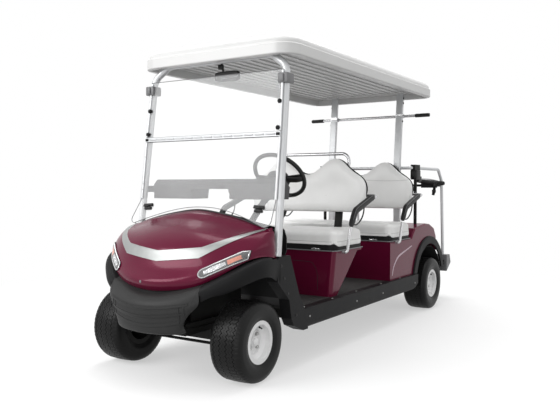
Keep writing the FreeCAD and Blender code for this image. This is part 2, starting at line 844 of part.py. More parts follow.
def nose():
    """The painted cowl, the bright band that lies on it and the two lamps."""
    face = skin(cowl_rows())
    outward = facing(face, -Y)
    shell = thick(face, -outward * s.shell_thickness)
    node("front_cowl", shaped("front_cowl", shell))

    low = float(s.trim_low_z)
    kink = (float(s.trim_kink_x), low + s.trim_kink_rise)
    end = (float(s.trim_end_x), low + s.trim_end_rise)
    lower = [(0, low), kink, end]
    upper = [(0, low + s.trim_height), (kink[0], kink[1] + s.trim_height),
             (end[0], end[1] + s.trim_end_height)]
    right_lower = [(-x, z) for x, z in reversed(lower[1:])]
    right_upper = [(-x, z) for x, z in upper[1:]]
    band = prism_y(right_lower + lower + list(reversed(upper)) + right_upper,
                   float(fore(-s.cowl_depth)), float(fore(s.cowl_rear_y)))
    node("cowl_trim", shaped("cowl_trim", thick(face, outward * s.trim_thickness).common(band)))

    front = Vector(float(s.lamp_front_x), 0, float(s.lamp_front_z))
    rear = Vector(float(s.lamp_rear_x), 0, float(s.lamp_rear_z))
    way = (rear - front).normalize()
    up = Vector(-way.z, 0, way.x)
    half = float(s.lamp_half_height)
    ring = [front + up * half, front - way * half, front - up * half,
            rear - up * half, rear + way * half * 1.2 + up * half * .5, rear + up * half]
    start = Vector(0, float(fore(-s.cowl_depth)), 0)
    nose_arc = Part.Arc(ring[0] + start, ring[1] + start, ring[2] + start).toShape()
    rest = Part.makePolygon([p + start for p in ring[2:] + ring[:1]])
    block = Part.Face(Part.Wire([nose_arc] + rest.Edges)).extrude(Vector(0, float(s.cowl_depth), 0))
    left = thick(face, outward * s.lamp_thickness).common(block)
    both = Part.makeCompound([left, left.mirror(Vector(), X)])
    node("headlamps", shaped("headlamps", both))
    return shell


def fender_reach():
    """Half the width over the fenders, which swell just past the legs."""
    return s.cabin_half_width + s.leg_width + s.fender_swell


def bumper_and_fenders(cowl):
    """The dark ring round the nose: the bumper, and a fender that runs back to each leg."""
    wide = fender_reach()
    rows = []
    for row in BUMPER_SHARES:
        rows.append([Vector(x * (wide - s.bumper_inset), fore(s.bumper_root_y) - y * s.bumper_depth,
                            s.bumper_low_z + z * s.bumper_height) for x, y, z in row])
    face = skin(across(rows))
    bumper = thick(face, -facing(face, -Y) * s.bumper_thickness)
    node("front_bumper", shaped("front_bumper", bumper.cut(cowl)))

    rows = []
    floor_z, rise = s.floor_z, s.fender_top_z - s.floor_z
    for station in FENDER_SHARES:
        rows.append([Vector(x * wide, fore(s.fender_rear_y) - y * s.fender_depth,
                            floor_z + z * rise) for x, y, z in station])
    face = skin(rows)
    band = thick(face, -facing(face, X) * s.shell_thickness).cut(cowl).cut(bumper)
    outline_yz = [
        (s.fender_rear_y - s.leg_lap, s.leg_top_z), (s.leg_top_rear_y - s.leg_corner_run, s.leg_top_z),
        (s.leg_top_rear_y, s.leg_top_z - s.leg_corner_drop), (s.leg_waist_y, s.leg_waist_z),
        (s.floor_front_y, s.floor_z), (s.sill_front_y, s.floor_z), (s.sill_front_y, s.sill_low_z),
        (s.sill_front_y - s.sill_round * 2, s.sill_low_z),
        (s.arch_foot_y + s.sill_round, s.sill_low_z + s.sill_round * 1.6),
        (s.arch_foot_y, s.sill_low_z + s.sill_round * 3.2), (s.arch_waist_y, s.arch_waist_z),
        (s.fender_rear_y - s.leg_lap, s.arch_top_z + s.leg_lap / 4)]
    points = [Vector(float(s.cabin_half_width), float(fore(y)), float(z)) for y, z in outline_yz]
    leg = Part.Face(Part.makePolygon(points + [points[0]]))
    leg = leg.extrude(Vector(float(s.leg_width), 0, 0))
    corner = min((v.Point for v in cowl.Vertexes if v.X > 0), key=lambda point: point.z)
    rear = max(v.Y for v in cowl.Vertexes) + s.seat_gap
    seat = Part.makeBox(wide, float(s.seat_run), float(s.seat_run),
                        Vector(corner.x - s.seat_lap, rear - s.seat_run, corner.z - s.seat_gap))
    whole = band.fuse(leg.cut(cowl)).cut(seat).removeSplitter()
    left = max(whole.Solids, key=lambda solid: solid.Volume)
    both = Part.makeCompound([left, left.mirror(Vector(), X)])
    node("front_fenders", shaped("front_fenders", both))


def front_liner():
    """The bent inner panel from the top of the cowl down to the toe board and floor."""
    top = s.cowl_low_z + s.cowl_height
    t = s.liner_thickness
    reach, drop = s.floor_front_y - s.cowl_rear_y, top - s.floor_z
    run = [(s.cowl_rear_y + a * reach, top - b * drop) for a, b in LINER_SHARES]
    back = [(y + t * (1.2 if z > s.leg_top_z else .9), z + (t * .6 if z < s.liner_knee_z else 0))
            for y, z in reversed(run)]
    back[0] = (s.floor_front_y + t * 2, s.floor_z)
    corners = [(fore(y), z) for y, z in run + back]
    body = padded("liner_sheet", "YZ", corners, 2 * s.liner_half_width, middle=True)
    rows = cowl_rows()[-1]
    crown = [(float(p.x), float(p.z)) for p in rows]
    wide = float(s.liner_half_width)
    low, leg_top = float(s.floor_z), float(s.leg_top_z)
    inner = float(s.cabin_half_width)
    ring = [(-inner, low), (inner, low), (inner, leg_top), (wide, leg_top), (wide, crown[-1][1])]
    ring += list(reversed(crown[1:-1])) + [(-wide, crown[0][1]), (-wide, leg_top), (-inner, leg_top)]
    window = prism_y(ring, float(fore(0)), float(fore(s.sill_front_y)))
    node("front_liner", shaped("front_liner", body.Shape.common(window)))


def hoop():
    """The windshield tube: a strut up each side, joined across under the roof."""
    z_top = s.roof_under_z - s.hoop_radius
    left = [(s.hoop_foot_x, fore(s.hoop_foot_y), s.leg_top_z),
            (s.hoop_head_x, fore(s.hoop_head_y), s.hoop_head_z),
            (s.hoop_top_x, fore(s.hoop_top_y), z_top)]
    right = [(-x, y, z) for x, y, z in reversed(left)]
    foot = shaped("hoop_tube", tube_shape([Vector(*p) for p in left + right], float(s.hoop_radius),
                                          float(s.hoop_bend)))
    ground = bar_across("hoop_ground", fender_reach() * 2, s.fender_depth, s.leg_top_z, fore(0), 0)
    node("front_hoop", cut("front_hoop", foot, ground))
    return foot


def hoop_y(z):
    """How far back the strut's middle lies at a height, from the front axle."""
    share = (z - s.leg_top_z) / (s.hoop_head_z - s.leg_top_z)
    return s.hoop_foot_y + share * (s.hoop_head_y - s.hoop_foot_y)


def windshield():
    """Two clear panels that meet at the fold bar; the lower one flares forward over the cowl."""
    ahead = s.hoop_radius + s.glass_thickness + s.glass_gap

    def panel(corners):
        points = [Vector(float(x), float(fore(hoop_y(z) - ahead)), float(z)) for x, z in corners]
        sheet = Part.Face(Part.makePolygon(points + [points[0]]))
        return sheet.extrude(Vector(0, float(s.glass_thickness), 0))

    wide, foot_wide = float(s.glass_half_width), float(s.glass_foot_half_width)
    fold, knee, foot = s.glass_fold_z, s.glass_shoulder_z, float(s.glass_foot_z)
    front = [(fore(hoop_y(z) - ahead), z) for z in (fold, knee)]
    front.append((front[1][0] - s.glass_skirt_run, foot))
    back = [(y + s.glass_thickness, z) for y, z in reversed(front)]
    sheet = padded("lower_sheet", "YZ", front + back, 2 * foot_wide, middle=True)
    start = float(fore(0))
    arch = Part.BSplineCurve()
    rise = [Vector(x * foot_wide, start, foot + z * s.glass_skirt_rise) for x, z in SKIRT_SHARES]
    arch.interpolate(rise)
    corners = [rise[-1], Vector(wide, start, knee), Vector(wide, start, fold)]
    corners += [flip(p) for p in reversed(corners)]
    outline = Part.Face(Part.Wire([arch.toShape()] + Part.makePolygon(corners).Edges))
    window = outline.extrude(Vector(0, float(s.floor_front_y), 0))
    low_edges = [e for e in window.Edges if e.BoundBox.YLength > s.hair and e.BoundBox.ZMax < foot + s.hair]
    window = window.makeFillet(float(s.glass_corner), low_edges)
    node("windshield_lower", shaped("windshield_lower", sheet.Shape.common(window)))
    lift = s.fold_bar_height
    narrow = wide - s.glass_taper
    upper = [(-wide, fold + lift), (wide, fold + lift), (narrow, s.glass_top_z), (-narrow, s.glass_top_z)]
    node("windshield_upper", shaped("windshield_upper", panel(upper)))
    bar_y = fore(hoop_y(fold)) - s.hoop_radius - s.fold_bar_depth
    return bar_across("fold_bar_blank", wide, s.fold_bar_depth, lift, bar_y, fold)


def dashboard(hoop_tube):
    """The beam behind the windshield, notched below and bolted to both struts."""
    low, high = s.dash_low_z, s.dash_low_z + s.dash_height
    front, rear = fore(s.dash_front_y), fore(s.dash_front_y + s.dash_depth)
    round_off = s.dash_height / 4
    corners = [(front, low), (front, high - round_off), (front + round_off, high),
               (rear - round_off * 2, high), (rear, high - round_off * 1.6), (rear - round_off / 2, low)]
    beam = padded("dash_beam", "YZ", corners, 2 * s.dash_half_width, middle=True)
    rounded(beam, round_off / 3, lambda e: not runs_along(e, X))
    notch = bar_across("dash_notch", s.dash_notch_width / 2, s.dash_depth * 2, s.dash_notch_height,
                       fore(s.dash_front_y) - s.dash_depth / 2, low)
    strut_x = s.hoop_foot_x - s.hoop_radius
    ears = bar_across("dash_ears", strut_x + s.hoop_radius / 2, s.hoop_radius * 2, s.dash_height / 3,
                      fore(s.dash_front_y) - s.hoop_radius / 2, low + s.dash_height / 3)
    whole = cut("dash_open", fused("dash_whole", [beam, ears]), notch)
    node("dashboard", cut("dashboard", whole, hoop_tube))


def column_point(along):
    """A place on the steering column, counted down from the wheel's middle."""
    tilt = math.radians(s.column_tilt)
    return Vector(s.column_x, fore(s.wheel_centre_y) - along * math.cos(tilt),
                  s.wheel_centre_z - along * math.sin(tilt))


def steering():
    """The wheel with three spokes, and the column that runs down to the liner."""
    tilt = float(s.column_tilt)
    down = Vector(0, -math.cos(math.radians(tilt)), -math.sin(math.radians(tilt)))
    centre = column_point(0)
    ring = Part.makeTorus(float(s.wheel_ring_radius), float(s.wheel_grip_radius), centre, down)
    depth = float(s.wheel_hub_depth)
    hub = Part.makeCone(float(s.wheel_hub_radius), float(s.shroud_radius), depth,
                        centre + down * float(s.wheel_grip_radius), down)
    seat = centre + down * (float(s.wheel_grip_radius) + depth / 2)
    spokes = []
    across_way = X
    up = across_way.cross(down).normalize()
    for angle in (0, 180, 270):
        way = across_way * math.cos(math.radians(angle)) + up * math.sin(math.radians(angle)) * -1
        side = way.cross(down).normalize()
        w, t = float(s.wheel_spoke_width) / 2, float(s.wheel_spoke_thickness)
        outer = centre + way * (float(s.wheel_ring_radius))
        p = [seat + side * w, seat - side * w, outer - side * w * .7, outer + side * w * .7]
        spoke = Part.Face(Part.makePolygon(p + [p[0]])).extrude(down * t)
        spokes.append(spoke)
    node("steering_wheel", shaped("steering_wheel", hub.fuse(spokes + [ring]).removeSplitter()))

    gap = float(s.wheel_grip_radius) + depth + float(s.pan_gap)
    start = centre + down * gap
    shroud = Part.makeCone(float(s.shroud_radius), float(s.column_radius) * 1.2,
                           float(s.shroud_length), start, down)
    pipe = Part.makeCylinder(float(s.column_radius), float(s.column_length), start, down)
    liner = [n for n in nodes if n.Label == "front_liner"][0].Shape
    whole = shroud.fuse(pipe)
    rest = whole.cut(liner)
    kept = max(rest.Solids, key=lambda solid: solid.BoundBox.YMax)
    node("steering_column", shaped("steering_column", kept))


def pedals():
    """Two pedals on short stems over the toe board."""
    liner = [n for n in nodes if n.Label == "front_liner"][0].Shape
    turn = Rotation(X, float(s.pedal_tilt))
    solids = []
    for x in (s.brake_x, s.throttle_x):
        plate = Part.makeBox(float(s.pedal_width), float(s.pedal_length), float(s.pedal_thickness),
                             Vector(-s.pedal_width / 2, -s.pedal_length / 2, 0))
        plate = plate.makeFillet(float(s.pedal_thickness) * .45, plate.Edges)
        stem = Part.makeCylinder(float(s.pedal_thickness), float(s.pedal_stem) * 2,
                                 Vector(0, 0, -2 * s.pedal_stem))
        both = plate.fuse(stem)
        both.Placement = Placement(Vector(x, fore(s.pedal_y), s.pedal_z), turn)
        rest = both.cut(liner)
        solids.append(max(rest.Solids, key=lambda solid: solid.Volume))
    node("pedals", shaped("pedals", Part.makeCompound(solids)))


def roof():
    """The domed roof: a thick lip, a crown above it and a shallow hollow below."""
    plate = padded("roof_lip", "XY", [
        (-s.roof_half_width, 0), (s.roof_half_width, 0), (s.roof_half_width, s.roof_length),
        (-s.roof_half_width, s.roof_length)], s.roof_lip_height)
    rounded(plate, s.roof_corner_radius, lambda e: runs_along(e, Z))
    rounded(plate, s.roof_edge_round, lambda e: e.BoundBox.ZLength < s.hair)
    lip_z = s.roof_under_z - s.roof_lip_drop
    place(plate, y=fore(s.roof_front_y), z=lip_z)

    def ring(inset, z):
        y0 = float(fore(s.roof_front_y))
        return round_ring(float(s.roof_half_width) - inset, y0 + inset, y0 + float(s.roof_length) - inset, z,
                          float(s.roof_corner_radius) - inset * .4)

    z0 = lip_z + s.roof_lip_height - s.hair
    inset = s.roof_crown_inset
    crown = Part.makeLoft([ring(float(inset + a * s.roof_crown_run), float(z0 + b * s.roof_crown))
                           for a, b in ROOF_SHARES], True, False)
    hollow_in = float(s.roof_hollow_inset)
    hollow = Part.makeBox(2 * (float(s.roof_half_width) - hollow_in), float(s.roof_length) - 2 * hollow_in,
                          float(s.roof_lip_drop + s.roof_hollow_depth),
                          Vector(-s.roof_half_width + hollow_in, fore(s.roof_front_y) + hollow_in, lip_z))
    y_hoop = float(fore(s.hoop_top_y))
    y_strut = float(fore(s.rear_strut_y + s.rear_strut_lean))
    pads = []
    for y in (y_hoop, y_strut):
        half = float(s.rear_strut_head_x + s.roof_pad_depth)
        pads.append(Part.makeBox(2 * half, float(s.roof_pad_depth), float(s.roof_hollow_depth),
                                 Vector(-half, y - s.roof_pad_depth / 2, s.roof_under_z)))
    ribs = []
    count = int(s.roof_half_width / s.roof_rib_pitch) - 1
    for k in range(-count, count + 1):
        ribs.append(Part.makeBox(float(s.roof_rib_width), float(s.roof_length) - 2 * hollow_in,
                                 float(s.roof_rib_height) + float(s.hair),
                                 Vector(k * s.roof_rib_pitch - s.roof_rib_width / 2,
                                        fore(s.roof_front_y) + hollow_in,
                                        s.roof_under_z + s.roof_hollow_depth - s.roof_rib_height)))
    whole = plate.Shape.cut(hollow.cut(pads)).fuse([crown] + ribs).removeSplitter()
    node("roof", shaped("roof", whole))


def rear_struts():
    """Two flat posts behind the rear backrest that lean back above their knee."""
    half_w, half_d = s.rear_strut_width / 2, s.rear_strut_depth / 2
    y = s.rear_strut_y
    knee, top = s.rear_strut_knee_z, s.roof_under_z
    foot = deck_height(fore(y)) - s.tail_wall / 2
    body = padded("strut", "YZ", [
        (fore(y) - half_d, foot), (fore(y) + half_d, foot), (fore(y) + half_d, knee),
        (fore(y + s.rear_strut_lean) + half_d, top), (fore(y + s.rear_strut_lean) - half_d, top),
        (fore(y) - half_d, knee)], s.rear_strut_width)
    rounded(body, s.rear_strut_depth / 5, lambda e: (not runs_along(e, X)
                                                     and e.BoundBox.ZLength > s.rear_strut_depth))
    place(body, x=s.rear_strut_x - half_w)
    low, high, gap = s.back_bracket_low_z, s.back_bracket_high_z, s.back_bracket_gap
    bracket = padded("back_bracket", "YZ", [
        (fore(back_face_y(low) + s.row_pitch) + gap, low), (fore(y), low), (fore(y), high),
        (fore(back_face_y(high) + s.row_pitch) + gap, high)], s.rear_strut_width)
    place(bracket, x=s.rear_strut_x - half_w)
    tail_shell = [n for n in nodes if n.Label == "rear_body"][0]
    seated = cut("strut_seated", body, tail_shell)
    node("rear_struts", both_sides("rear_struts", fused("strut_whole", [seated, bracket])))


def grip_bar():
    """The cross bar behind the rear struts, with a bracket to each."""
    z = s.grip_bar_z
    share = (z - s.rear_strut_knee_z) / (s.roof_under_z - s.rear_strut_knee_z)
    strut_back = fore(s.rear_strut_y + share * s.rear_strut_lean) + s.rear_strut_depth / 2
    y = strut_back + s.grip_bar_radius * 2
    bar = rod("grip_rod", s.grip_bar_radius, 2 * s.grip_bar_half_width, (-s.grip_bar_half_width, y, z), "x")
    brackets = []
    for side, x in (("left", s.rear_strut_x), ("right", -s.rear_strut_x)):
        deep = s.grip_bar_radius * 2 + s.rear_strut_depth
        brackets.append(box("grip_bracket_" + side, (s.rear_strut_width, deep, s.grip_bar_radius * 3),
                            (x - s.rear_strut_width / 2, y - deep, z - s.grip_bar_radius * 1.5)))
    whole = fused("grip_whole", [bar] + brackets)
    struts = [n for n in nodes if n.Label == "rear_struts"][0]
    node("grip_bar", cut("grip_bar", whole, struts))


def mirror():
    """The inside mirror on its stem under the roof."""
    y, z = fore(s.mirror_y), s.mirror_z
    case = Part.makeBox(float(s.mirror_length), float(s.mirror_depth), float(s.mirror_height),
                        Vector(s.mirror_x - s.mirror_length / 2, y, z))
    case = case.makeFillet(float(s.mirror_round), case.Edges)
    stem = Part.makeBox(float(s.mirror_stem), float(s.mirror_stem),
                        float(s.roof_under_z + s.roof_hollow_depth - z),
                        Vector(s.mirror_x - s.mirror_stem / 2, y + s.mirror_round / 2, z))
    node("mirror", shaped("mirror", case.fuse(stem).removeSplitter()))


def row_of_seats(row, shift):
    """Pan, cushion and backrest of one row, moved back by the given distance."""
    front, z = s.base_front_y + shift, s.base_top_z + s.pan_gap
    length = s.cushion_length
    wide = s.base_half_width
    pan = padded("pan_" + row, "XY", [(-wide, 0), (wide, 0), (wide, length), (-wide, length)], s.pan_height)
    rounded(pan, s.pan_round, lambda e: runs_along(e, Z))
    place(pan, y=fore(front), z=z)
    node(row + "_pan", pan)

    wide = s.cushion_half_width
    cushion = padded("cushion_" + row, "XY", [(-wide, 0), (wide, 0), (wide, length), (-wide, length)],
                     s.cushion_height)
    rounded(cushion, s.pan_round, lambda e: runs_along(e, Z))
    rounded(cushion, s.cushion_round, lambda e: e.BoundBox.ZLength < s.hair)
    place(cushion, y=fore(front), z=z + s.pan_height + s.cushion_gap)
    node(row + "_cushion", cushion)

    wide, hump = float(s.back_half_width), float(s.back_hump_height)
    side = float(s.back_side_height)
    shoulders = [(wide * x, hump * z_share) for x, z_share in BACK_EDGE_SHARES]
    right = [(wide, side)] + shoulders + [(float(s.back_hump_x), hump)]
    left = [(-x, height) for x, height in reversed(right)]
    top = right + [(0, float(s.back_dip_height))] + left
    curve = Part.BSplineCurve()
    points = [Vector(x, 0, height) for x, height in top]
    curve.interpolate(points)
    corner = float(s.back_corner)
    turn = corner * (1 - math.sqrt(.5))
    right_arc = [Vector(wide - corner, 0, 0), Vector(wide - turn, 0, turn), Vector(wide, 0, corner)]
    left_arc = [Vector(-p.x, 0, p.z) for p in reversed(right_arc)]
    edges = [curve.toShape(), Part.makeLine(points[-1], left_arc[0]), Part.Arc(*left_arc).toShape(),
             Part.makeLine(left_arc[-1], right_arc[0]), Part.Arc(*right_arc).toShape(),
             Part.makeLine(right_arc[-1], points[0])]
    pad = Part.Face(Part.Wire(edges)).extrude(Vector(0, float(s.back_thickness), 0))
    pad = pad.makeFillet(float(s.back_round), [e for e in pad.Edges if e.BoundBox.YLength < s.hair])
    backrest = shaped("backrest_" + row, pad)
    place(backrest, y=fore(s.back_bottom_y + shift), z=s.back_bottom_z,
          turn=Rotation(X, -float(s.back_tilt)))
    node(row + "_backrest", backrest)


def back_face_y(z):
    """How far back the rear face of the front backrest lies at a height."""
    tilt = math.radians(s.back_tilt)
    return s.back_bottom_y + s.back_thickness / math.cos(tilt) + (z - s.back_bottom_z) * math.tan(tilt)


def arm_path(shift, cross_y, root_x):
    """Half of an armrest's route, from its foot on the seat base to behind the backrest."""
    x = s.arm_x
    return [
        (root_x, fore(s.arm_foot_y + shift), s.arm_foot_z),
        (x, fore(s.arm_foot_y + shift), s.arm_foot_z),
        (x, fore(s.arm_knee_y + shift), s.arm_knee_z),
        (x, fore(s.arm_elbow_y + shift), s.arm_elbow_z),
        (x, fore(s.arm_end_y + shift), s.arm_end_z),
        (x, fore(cross_y), s.arm_end_z + 2 * s.arm_tube_radius),
    ]


def front_rails():
    """The flat posts and the handrail behind the front backrest, and the armrests of both rows."""
    post_back = s.post_y + s.post_thickness
    z_top = s.post_top_z
    lean_y = back_face_y(z_top) + s.post_gap
    y_mid = back_face_y(s.post_knee_z + s.post_bend) + s.post_gap
    t = s.post_thickness
    foot_z, knee_z, bend_z = s.base_top_z - s.rim_height, s.post_knee_z, s.post_knee_z + s.post_bend
    corners = [
        (fore(s.rim_rear_y), foot_z - t), (fore(post_back), foot_z - t), (fore(post_back), knee_z),
        (fore(y_mid) + t, bend_z), (fore(lean_y) + t, z_top), (fore(lean_y), z_top),
        (fore(y_mid), bend_z), (fore(s.post_y), knee_z), (fore(s.post_y), foot_z),
        (fore(s.rim_rear_y), foot_z)]
    post = padded("post", "YZ", corners, s.post_width)
    place(post, x=s.post_x - s.post_width / 2)
    node("front_posts", both_sides("front_posts", post))

    radius, bend = s.rail_tube_radius, s.rail_tube_radius * 5
    y_rail = fore(lean_y) + t + radius
    top_y = fore(back_face_y(s.handrail_z)) + radius + s.handrail_gap
    x = s.handrail_x
    foot_z = s.arm_end_z - 3 * s.arm_tube_radius
    half = [(s.post_x, y_rail, foot_z + s.handrail_foot), (x, top_y, s.handrail_z)]
    points = half + [(-px, py, pz) for px, py, pz in reversed(half)]
    rail = tube("handrail", points, radius, bend)
    cross_y = float(back_face_y(s.arm_end_z)) + s.arm_tube_radius + s.arm_gap
    arm = arms(s.row_pitch * 0, cross_y + s.post_thickness, s.base_half_width)
    return rail, arm


def arms(shift, cross_y, root_x):
    """The armrest tube of a row: one tube from the left foot round the backrest to the right foot."""
    left = arm_path(shift, cross_y, root_x)
    path = left + [(-x, y, z) for x, y, z in reversed(left)]
    return tube_shape([Vector(*p) for p in path], float(s.arm_tube_radius), float(s.arm_tube_radius) * 4)


def arm_pads(shift):
    """The two padded grips of a row: thick sleeves round the upper run of the tube."""
    path = arm_path(shift, s.arm_end_y + shift, s.base_half_width)[2:5]
    solid = tube_shape([Vector(*p) for p in path], float(s.arm_pad_radius), float(s.arm_tube_radius) * 4)
    return solid


def seat_frames():
    rail, front_arm = front_rails()
    rear_cross = s.rear_strut_y - s.rear_strut_depth / 2 - s.arm_tube_radius - s.post_gap
    rear_arm = arms(s.row_pitch, rear_cross, s.tail_half_width)
    tubes = [rail.Shape.fuse(front_arm), rear_arm]
    pads = []
    for shift in (s.row_pitch * 0, s.row_pitch):
        left = arm_pads(shift)
        pads += [left, left.mirror(Vector(), X)]
    sleeves = Part.makeCompound(pads)
    doc.recompute()
    posts = [n for n in nodes if n.Label == "front_posts"][0].Shape
    node("front_rails", shaped("front_rails", tubes[0].cut(sleeves).cut(posts)))
    node("rear_rails", shaped("rear_rails", tubes[1].cut(sleeves)))
    node("arm_pads", shaped("arm_pads", sleeves))


def front_base():
    """The tapered housing under the front seat, open at the top inside its rim."""
    def ring(z, front, rear, half):
        return round_ring(half, front, rear, z, float(s.base_round))

    def funnel(wall, low, high):
        foot = ring(low, float(fore(s.base_foot_front_y)) + wall, float(fore(s.base_foot_rear_y)) - wall,
                    float(s.base_foot_half_width) - wall)
        drawn_in = wall + float(s.base_lip)
        head = ring(high, float(fore(s.base_front_y)) + drawn_in, float(fore(s.base_top_rear_y)) - drawn_in,
                    float(s.base_half_width) - drawn_in)
        return Part.makeLoft([foot, head], True, True)

    low, top = float(s.floor_z), float(s.base_top_z)
    wall = float(s.base_wall)
    outer = funnel(0, low, top)
    rim_front, rim_rear = float(fore(s.base_front_y)), float(fore(s.rim_rear_y))
    rim = Part.makeBox(2 * float(s.base_half_width), rim_rear - rim_front, float(s.rim_height),
                       Vector(-s.base_half_width, rim_front, top - float(s.rim_height)))
    rim = rim.makeFillet(float(s.base_round), [e for e in rim.Edges if runs_along(e, Z)])
    inner = funnel(wall, low + wall, top)
    node("front_seat_base", shaped("front_seat_base", outer.fuse(rim).cut(inner).removeSplitter()))


def tail_profile(inset, bottom):
    """The rear body's side view as seen from the left, drawn in by a wall's thickness."""
    front, end = fore(s.tail_front_y) + inset, fore(s.tail_end_y) - inset
    pan_end = fore(s.row_pitch + s.base_front_y + s.cushion_length)
    base, deck, hump = s.base_top_z - inset, s.tail_deck_z - inset, s.tail_hump_z - inset
    rise, run = s.tail_deck_z - s.base_top_z, s.tail_end_y - s.tail_front_y
    return [(front, bottom), (front, base),
            (pan_end + run * .013, base), (pan_end + run * .038, base + rise * .41),
            (pan_end + run * .087, deck), (pan_end + run * .217, deck + (hump - deck) * .57),
            (pan_end + run * .330, hump), (pan_end + run * .424, hump - rise * .11),
            (end - run * .075, hump - rise * .54), (end - run * .019, hump - rise * 1.56),
            (end, hump - rise * 3.06), (end, bottom)]


def deck_height(y):
    """How high the rear body's top lies at a place, both counted in the part's own frame."""
    points = tail_profile(0, s.floor_z)
    for (y0, z0), (y1, z1) in zip(points, points[1:]):
        if y0 < y <= y1:
            return z0 + (z1 - z0) * ((y - y0) / (y1 - y0))
    return s.tail_deck_z


def rear_body():
    """The painted rear body: seat base, deck, tail and two wheel wells, open below and under the seat."""
    wall = float(s.tail_wall)
    wide = float(s.tail_half_width)
    base = float(s.base_top_z)
    front, low = float(fore(s.tail_front_y)), float(s.floor_z)
    pan_end = float(fore(s.row_pitch + s.base_front_y + s.cushion_length))

    def block(corners, x0, x1):
        points = [Vector(x0, y, z) for y, z in corners]
        return Part.Face(Part.makePolygon(points + [points[0]])).extrude(Vector(x1 - x0, 0, 0))

    outer = block(tail_profile(0, low), -wide, wide)
    edges = [e for e in outer.Edges if not runs_along(e, X) and e.BoundBox.ZMin > base - 1]
    outer = outer.makeFillet(float(s.tail_round), edges)
    inner = block(tail_profile(wall, low - wall), wall - wide, wide - wall)
    y, z, radius = float(fore(s.well_y)), float(s.well_z), float(s.well_radius)
    inner_x = float(s.well_inner_x)
    for side in (1, -1):
        housing = Part.makeCylinder(radius + wall, wide, Vector(side * (inner_x - wall), y, z), X * side)
        inner = inner.cut(housing)
    body = outer.cut(inner)
    for side in (1, -1):
        body = body.cut(Part.makeCylinder(radius, wide, Vector(side * inner_x, y, z), X * side))
    margin = float(s.hatch_margin)
    hatch = Part.makeBox(2 * (wide - margin), pan_end - front - 2 * margin, 4 * wall,
                         Vector(margin - wide, front + margin, base - 2 * wall))
    body = body.cut(hatch)
    node("rear_body", shaped("rear_body", max(body.Solids, key=lambda solid: solid.Volume)))

    half = s.battery_half_width
    pack = bar_across("battery_block", half, s.battery_length, s.battery_height,
                      fore(s.tail_front_y) + s.crossmember_width, s.rail_base_z + s.rail_height)
    node("battery_pack", pack)


def rear_flares():
    """The dark arch band round each rear wheel opening."""
    y, z = float(fore(s.well_y)), float(s.well_z)
    inner, outer = float(s.well_radius), float(s.well_radius + s.flare_width)
    x0, x1 = float(s.tail_half_width), float(s.flare_half_width)
    ring = Part.makeCylinder(outer, x1 - x0, Vector(x0, y, z), X).cut(
        Part.makeCylinder(inner, x1 - x0, Vector(x0, y, z), X))
    ring = ring.makeFillet(float(s.flare_half_width - s.tail_half_width) * .6,
                           [e for e in ring.Edges if e.BoundBox.XMin > x1 - s.hair
                            and e.BoundBox.ZLength > 2 * inner + s.hair])
    below = Part.makeBox(x1 * 2, outer * 2.4, float(s.flare_foot_z) + outer,
                         Vector(0, y - outer * 1.2, -outer))
    left = ring.cut(below)
    node("rear_flares", shaped("rear_flares", Part.makeCompound([left, left.mirror(Vector(), X)])))


def bag_rack():
    """The bright tube that goes round behind the struts and down to the tail bumper."""
    x, z = s.rack_x, s.rack_z
    front = fore(s.rear_strut_y) + s.rear_strut_depth / 2 + s.rack_radius
    bend_y, bend_z = s.rack_bend_y + s.rack_bend_run, z - s.rack_bend
    left = [(x, fore(s.rack_foot_y), s.tail_bumper_top_z), (x, fore(bend_y), bend_z),
            (x, fore(s.rack_bend_y), z), (x, front, z)]
    path = left + [(-px, py, pz) for px, py, pz in reversed(left)]
    rack = tube("rack_tube", path, s.rack_radius, s.rack_bend / 2)
    ground = bar_across("rack_ground", s.rack_x * 2, s.rack_x, s.tail_bumper_top_z, fore(s.rack_bend_y), 0)
    node("bag_rack", cut("bag_rack", rack, ground))

    y = fore(s.rack_post_y)
    foot = deck_height(y) - s.tail_wall / 2
    post = rod("rack_post", s.rack_radius, z - foot, (x, y, foot))
    clamp = box("rack_clamp", (s.rack_clamp_width, s.rack_clamp_length, s.rack_clamp_height),
                (x - s.rack_clamp_width / 2, y - s.rack_clamp_length / 2, z - s.rack_clamp_height / 2))
    whole = fused("rack_support", [post, clamp])
    tail = [n for n in nodes if n.Label == "rear_body"][0]
    seated = cut("rack_seated", cut("rack_hung", whole, rack), tail)
    node("rack_posts", both_sides("rack_posts", seated))

    z = s.holder_z
    share = (bend_z - z) / (bend_z - s.tail_bumper_top_z)
    y = fore(bend_y + share * (s.rack_foot_y - bend_y))
    bar = rod("holder_bar", s.holder_radius, 2 * x, (-x, y, z), "x")
    pads = []
    for side, start in (("left", s.holder_pad_x - s.holder_pad_length / 2),
                        ("right", -s.holder_pad_x - s.holder_pad_length / 2)):
        pads.append(box("holder_pad_" + side, (s.holder_pad_length, s.holder_pad_depth, s.holder_pad_height),
                        (start, y - s.holder_pad_depth * .8, z - s.holder_pad_height / 2)))
    node("bag_holder", cut("bag_holder", fused("holder_whole", [bar] + pads), rack))


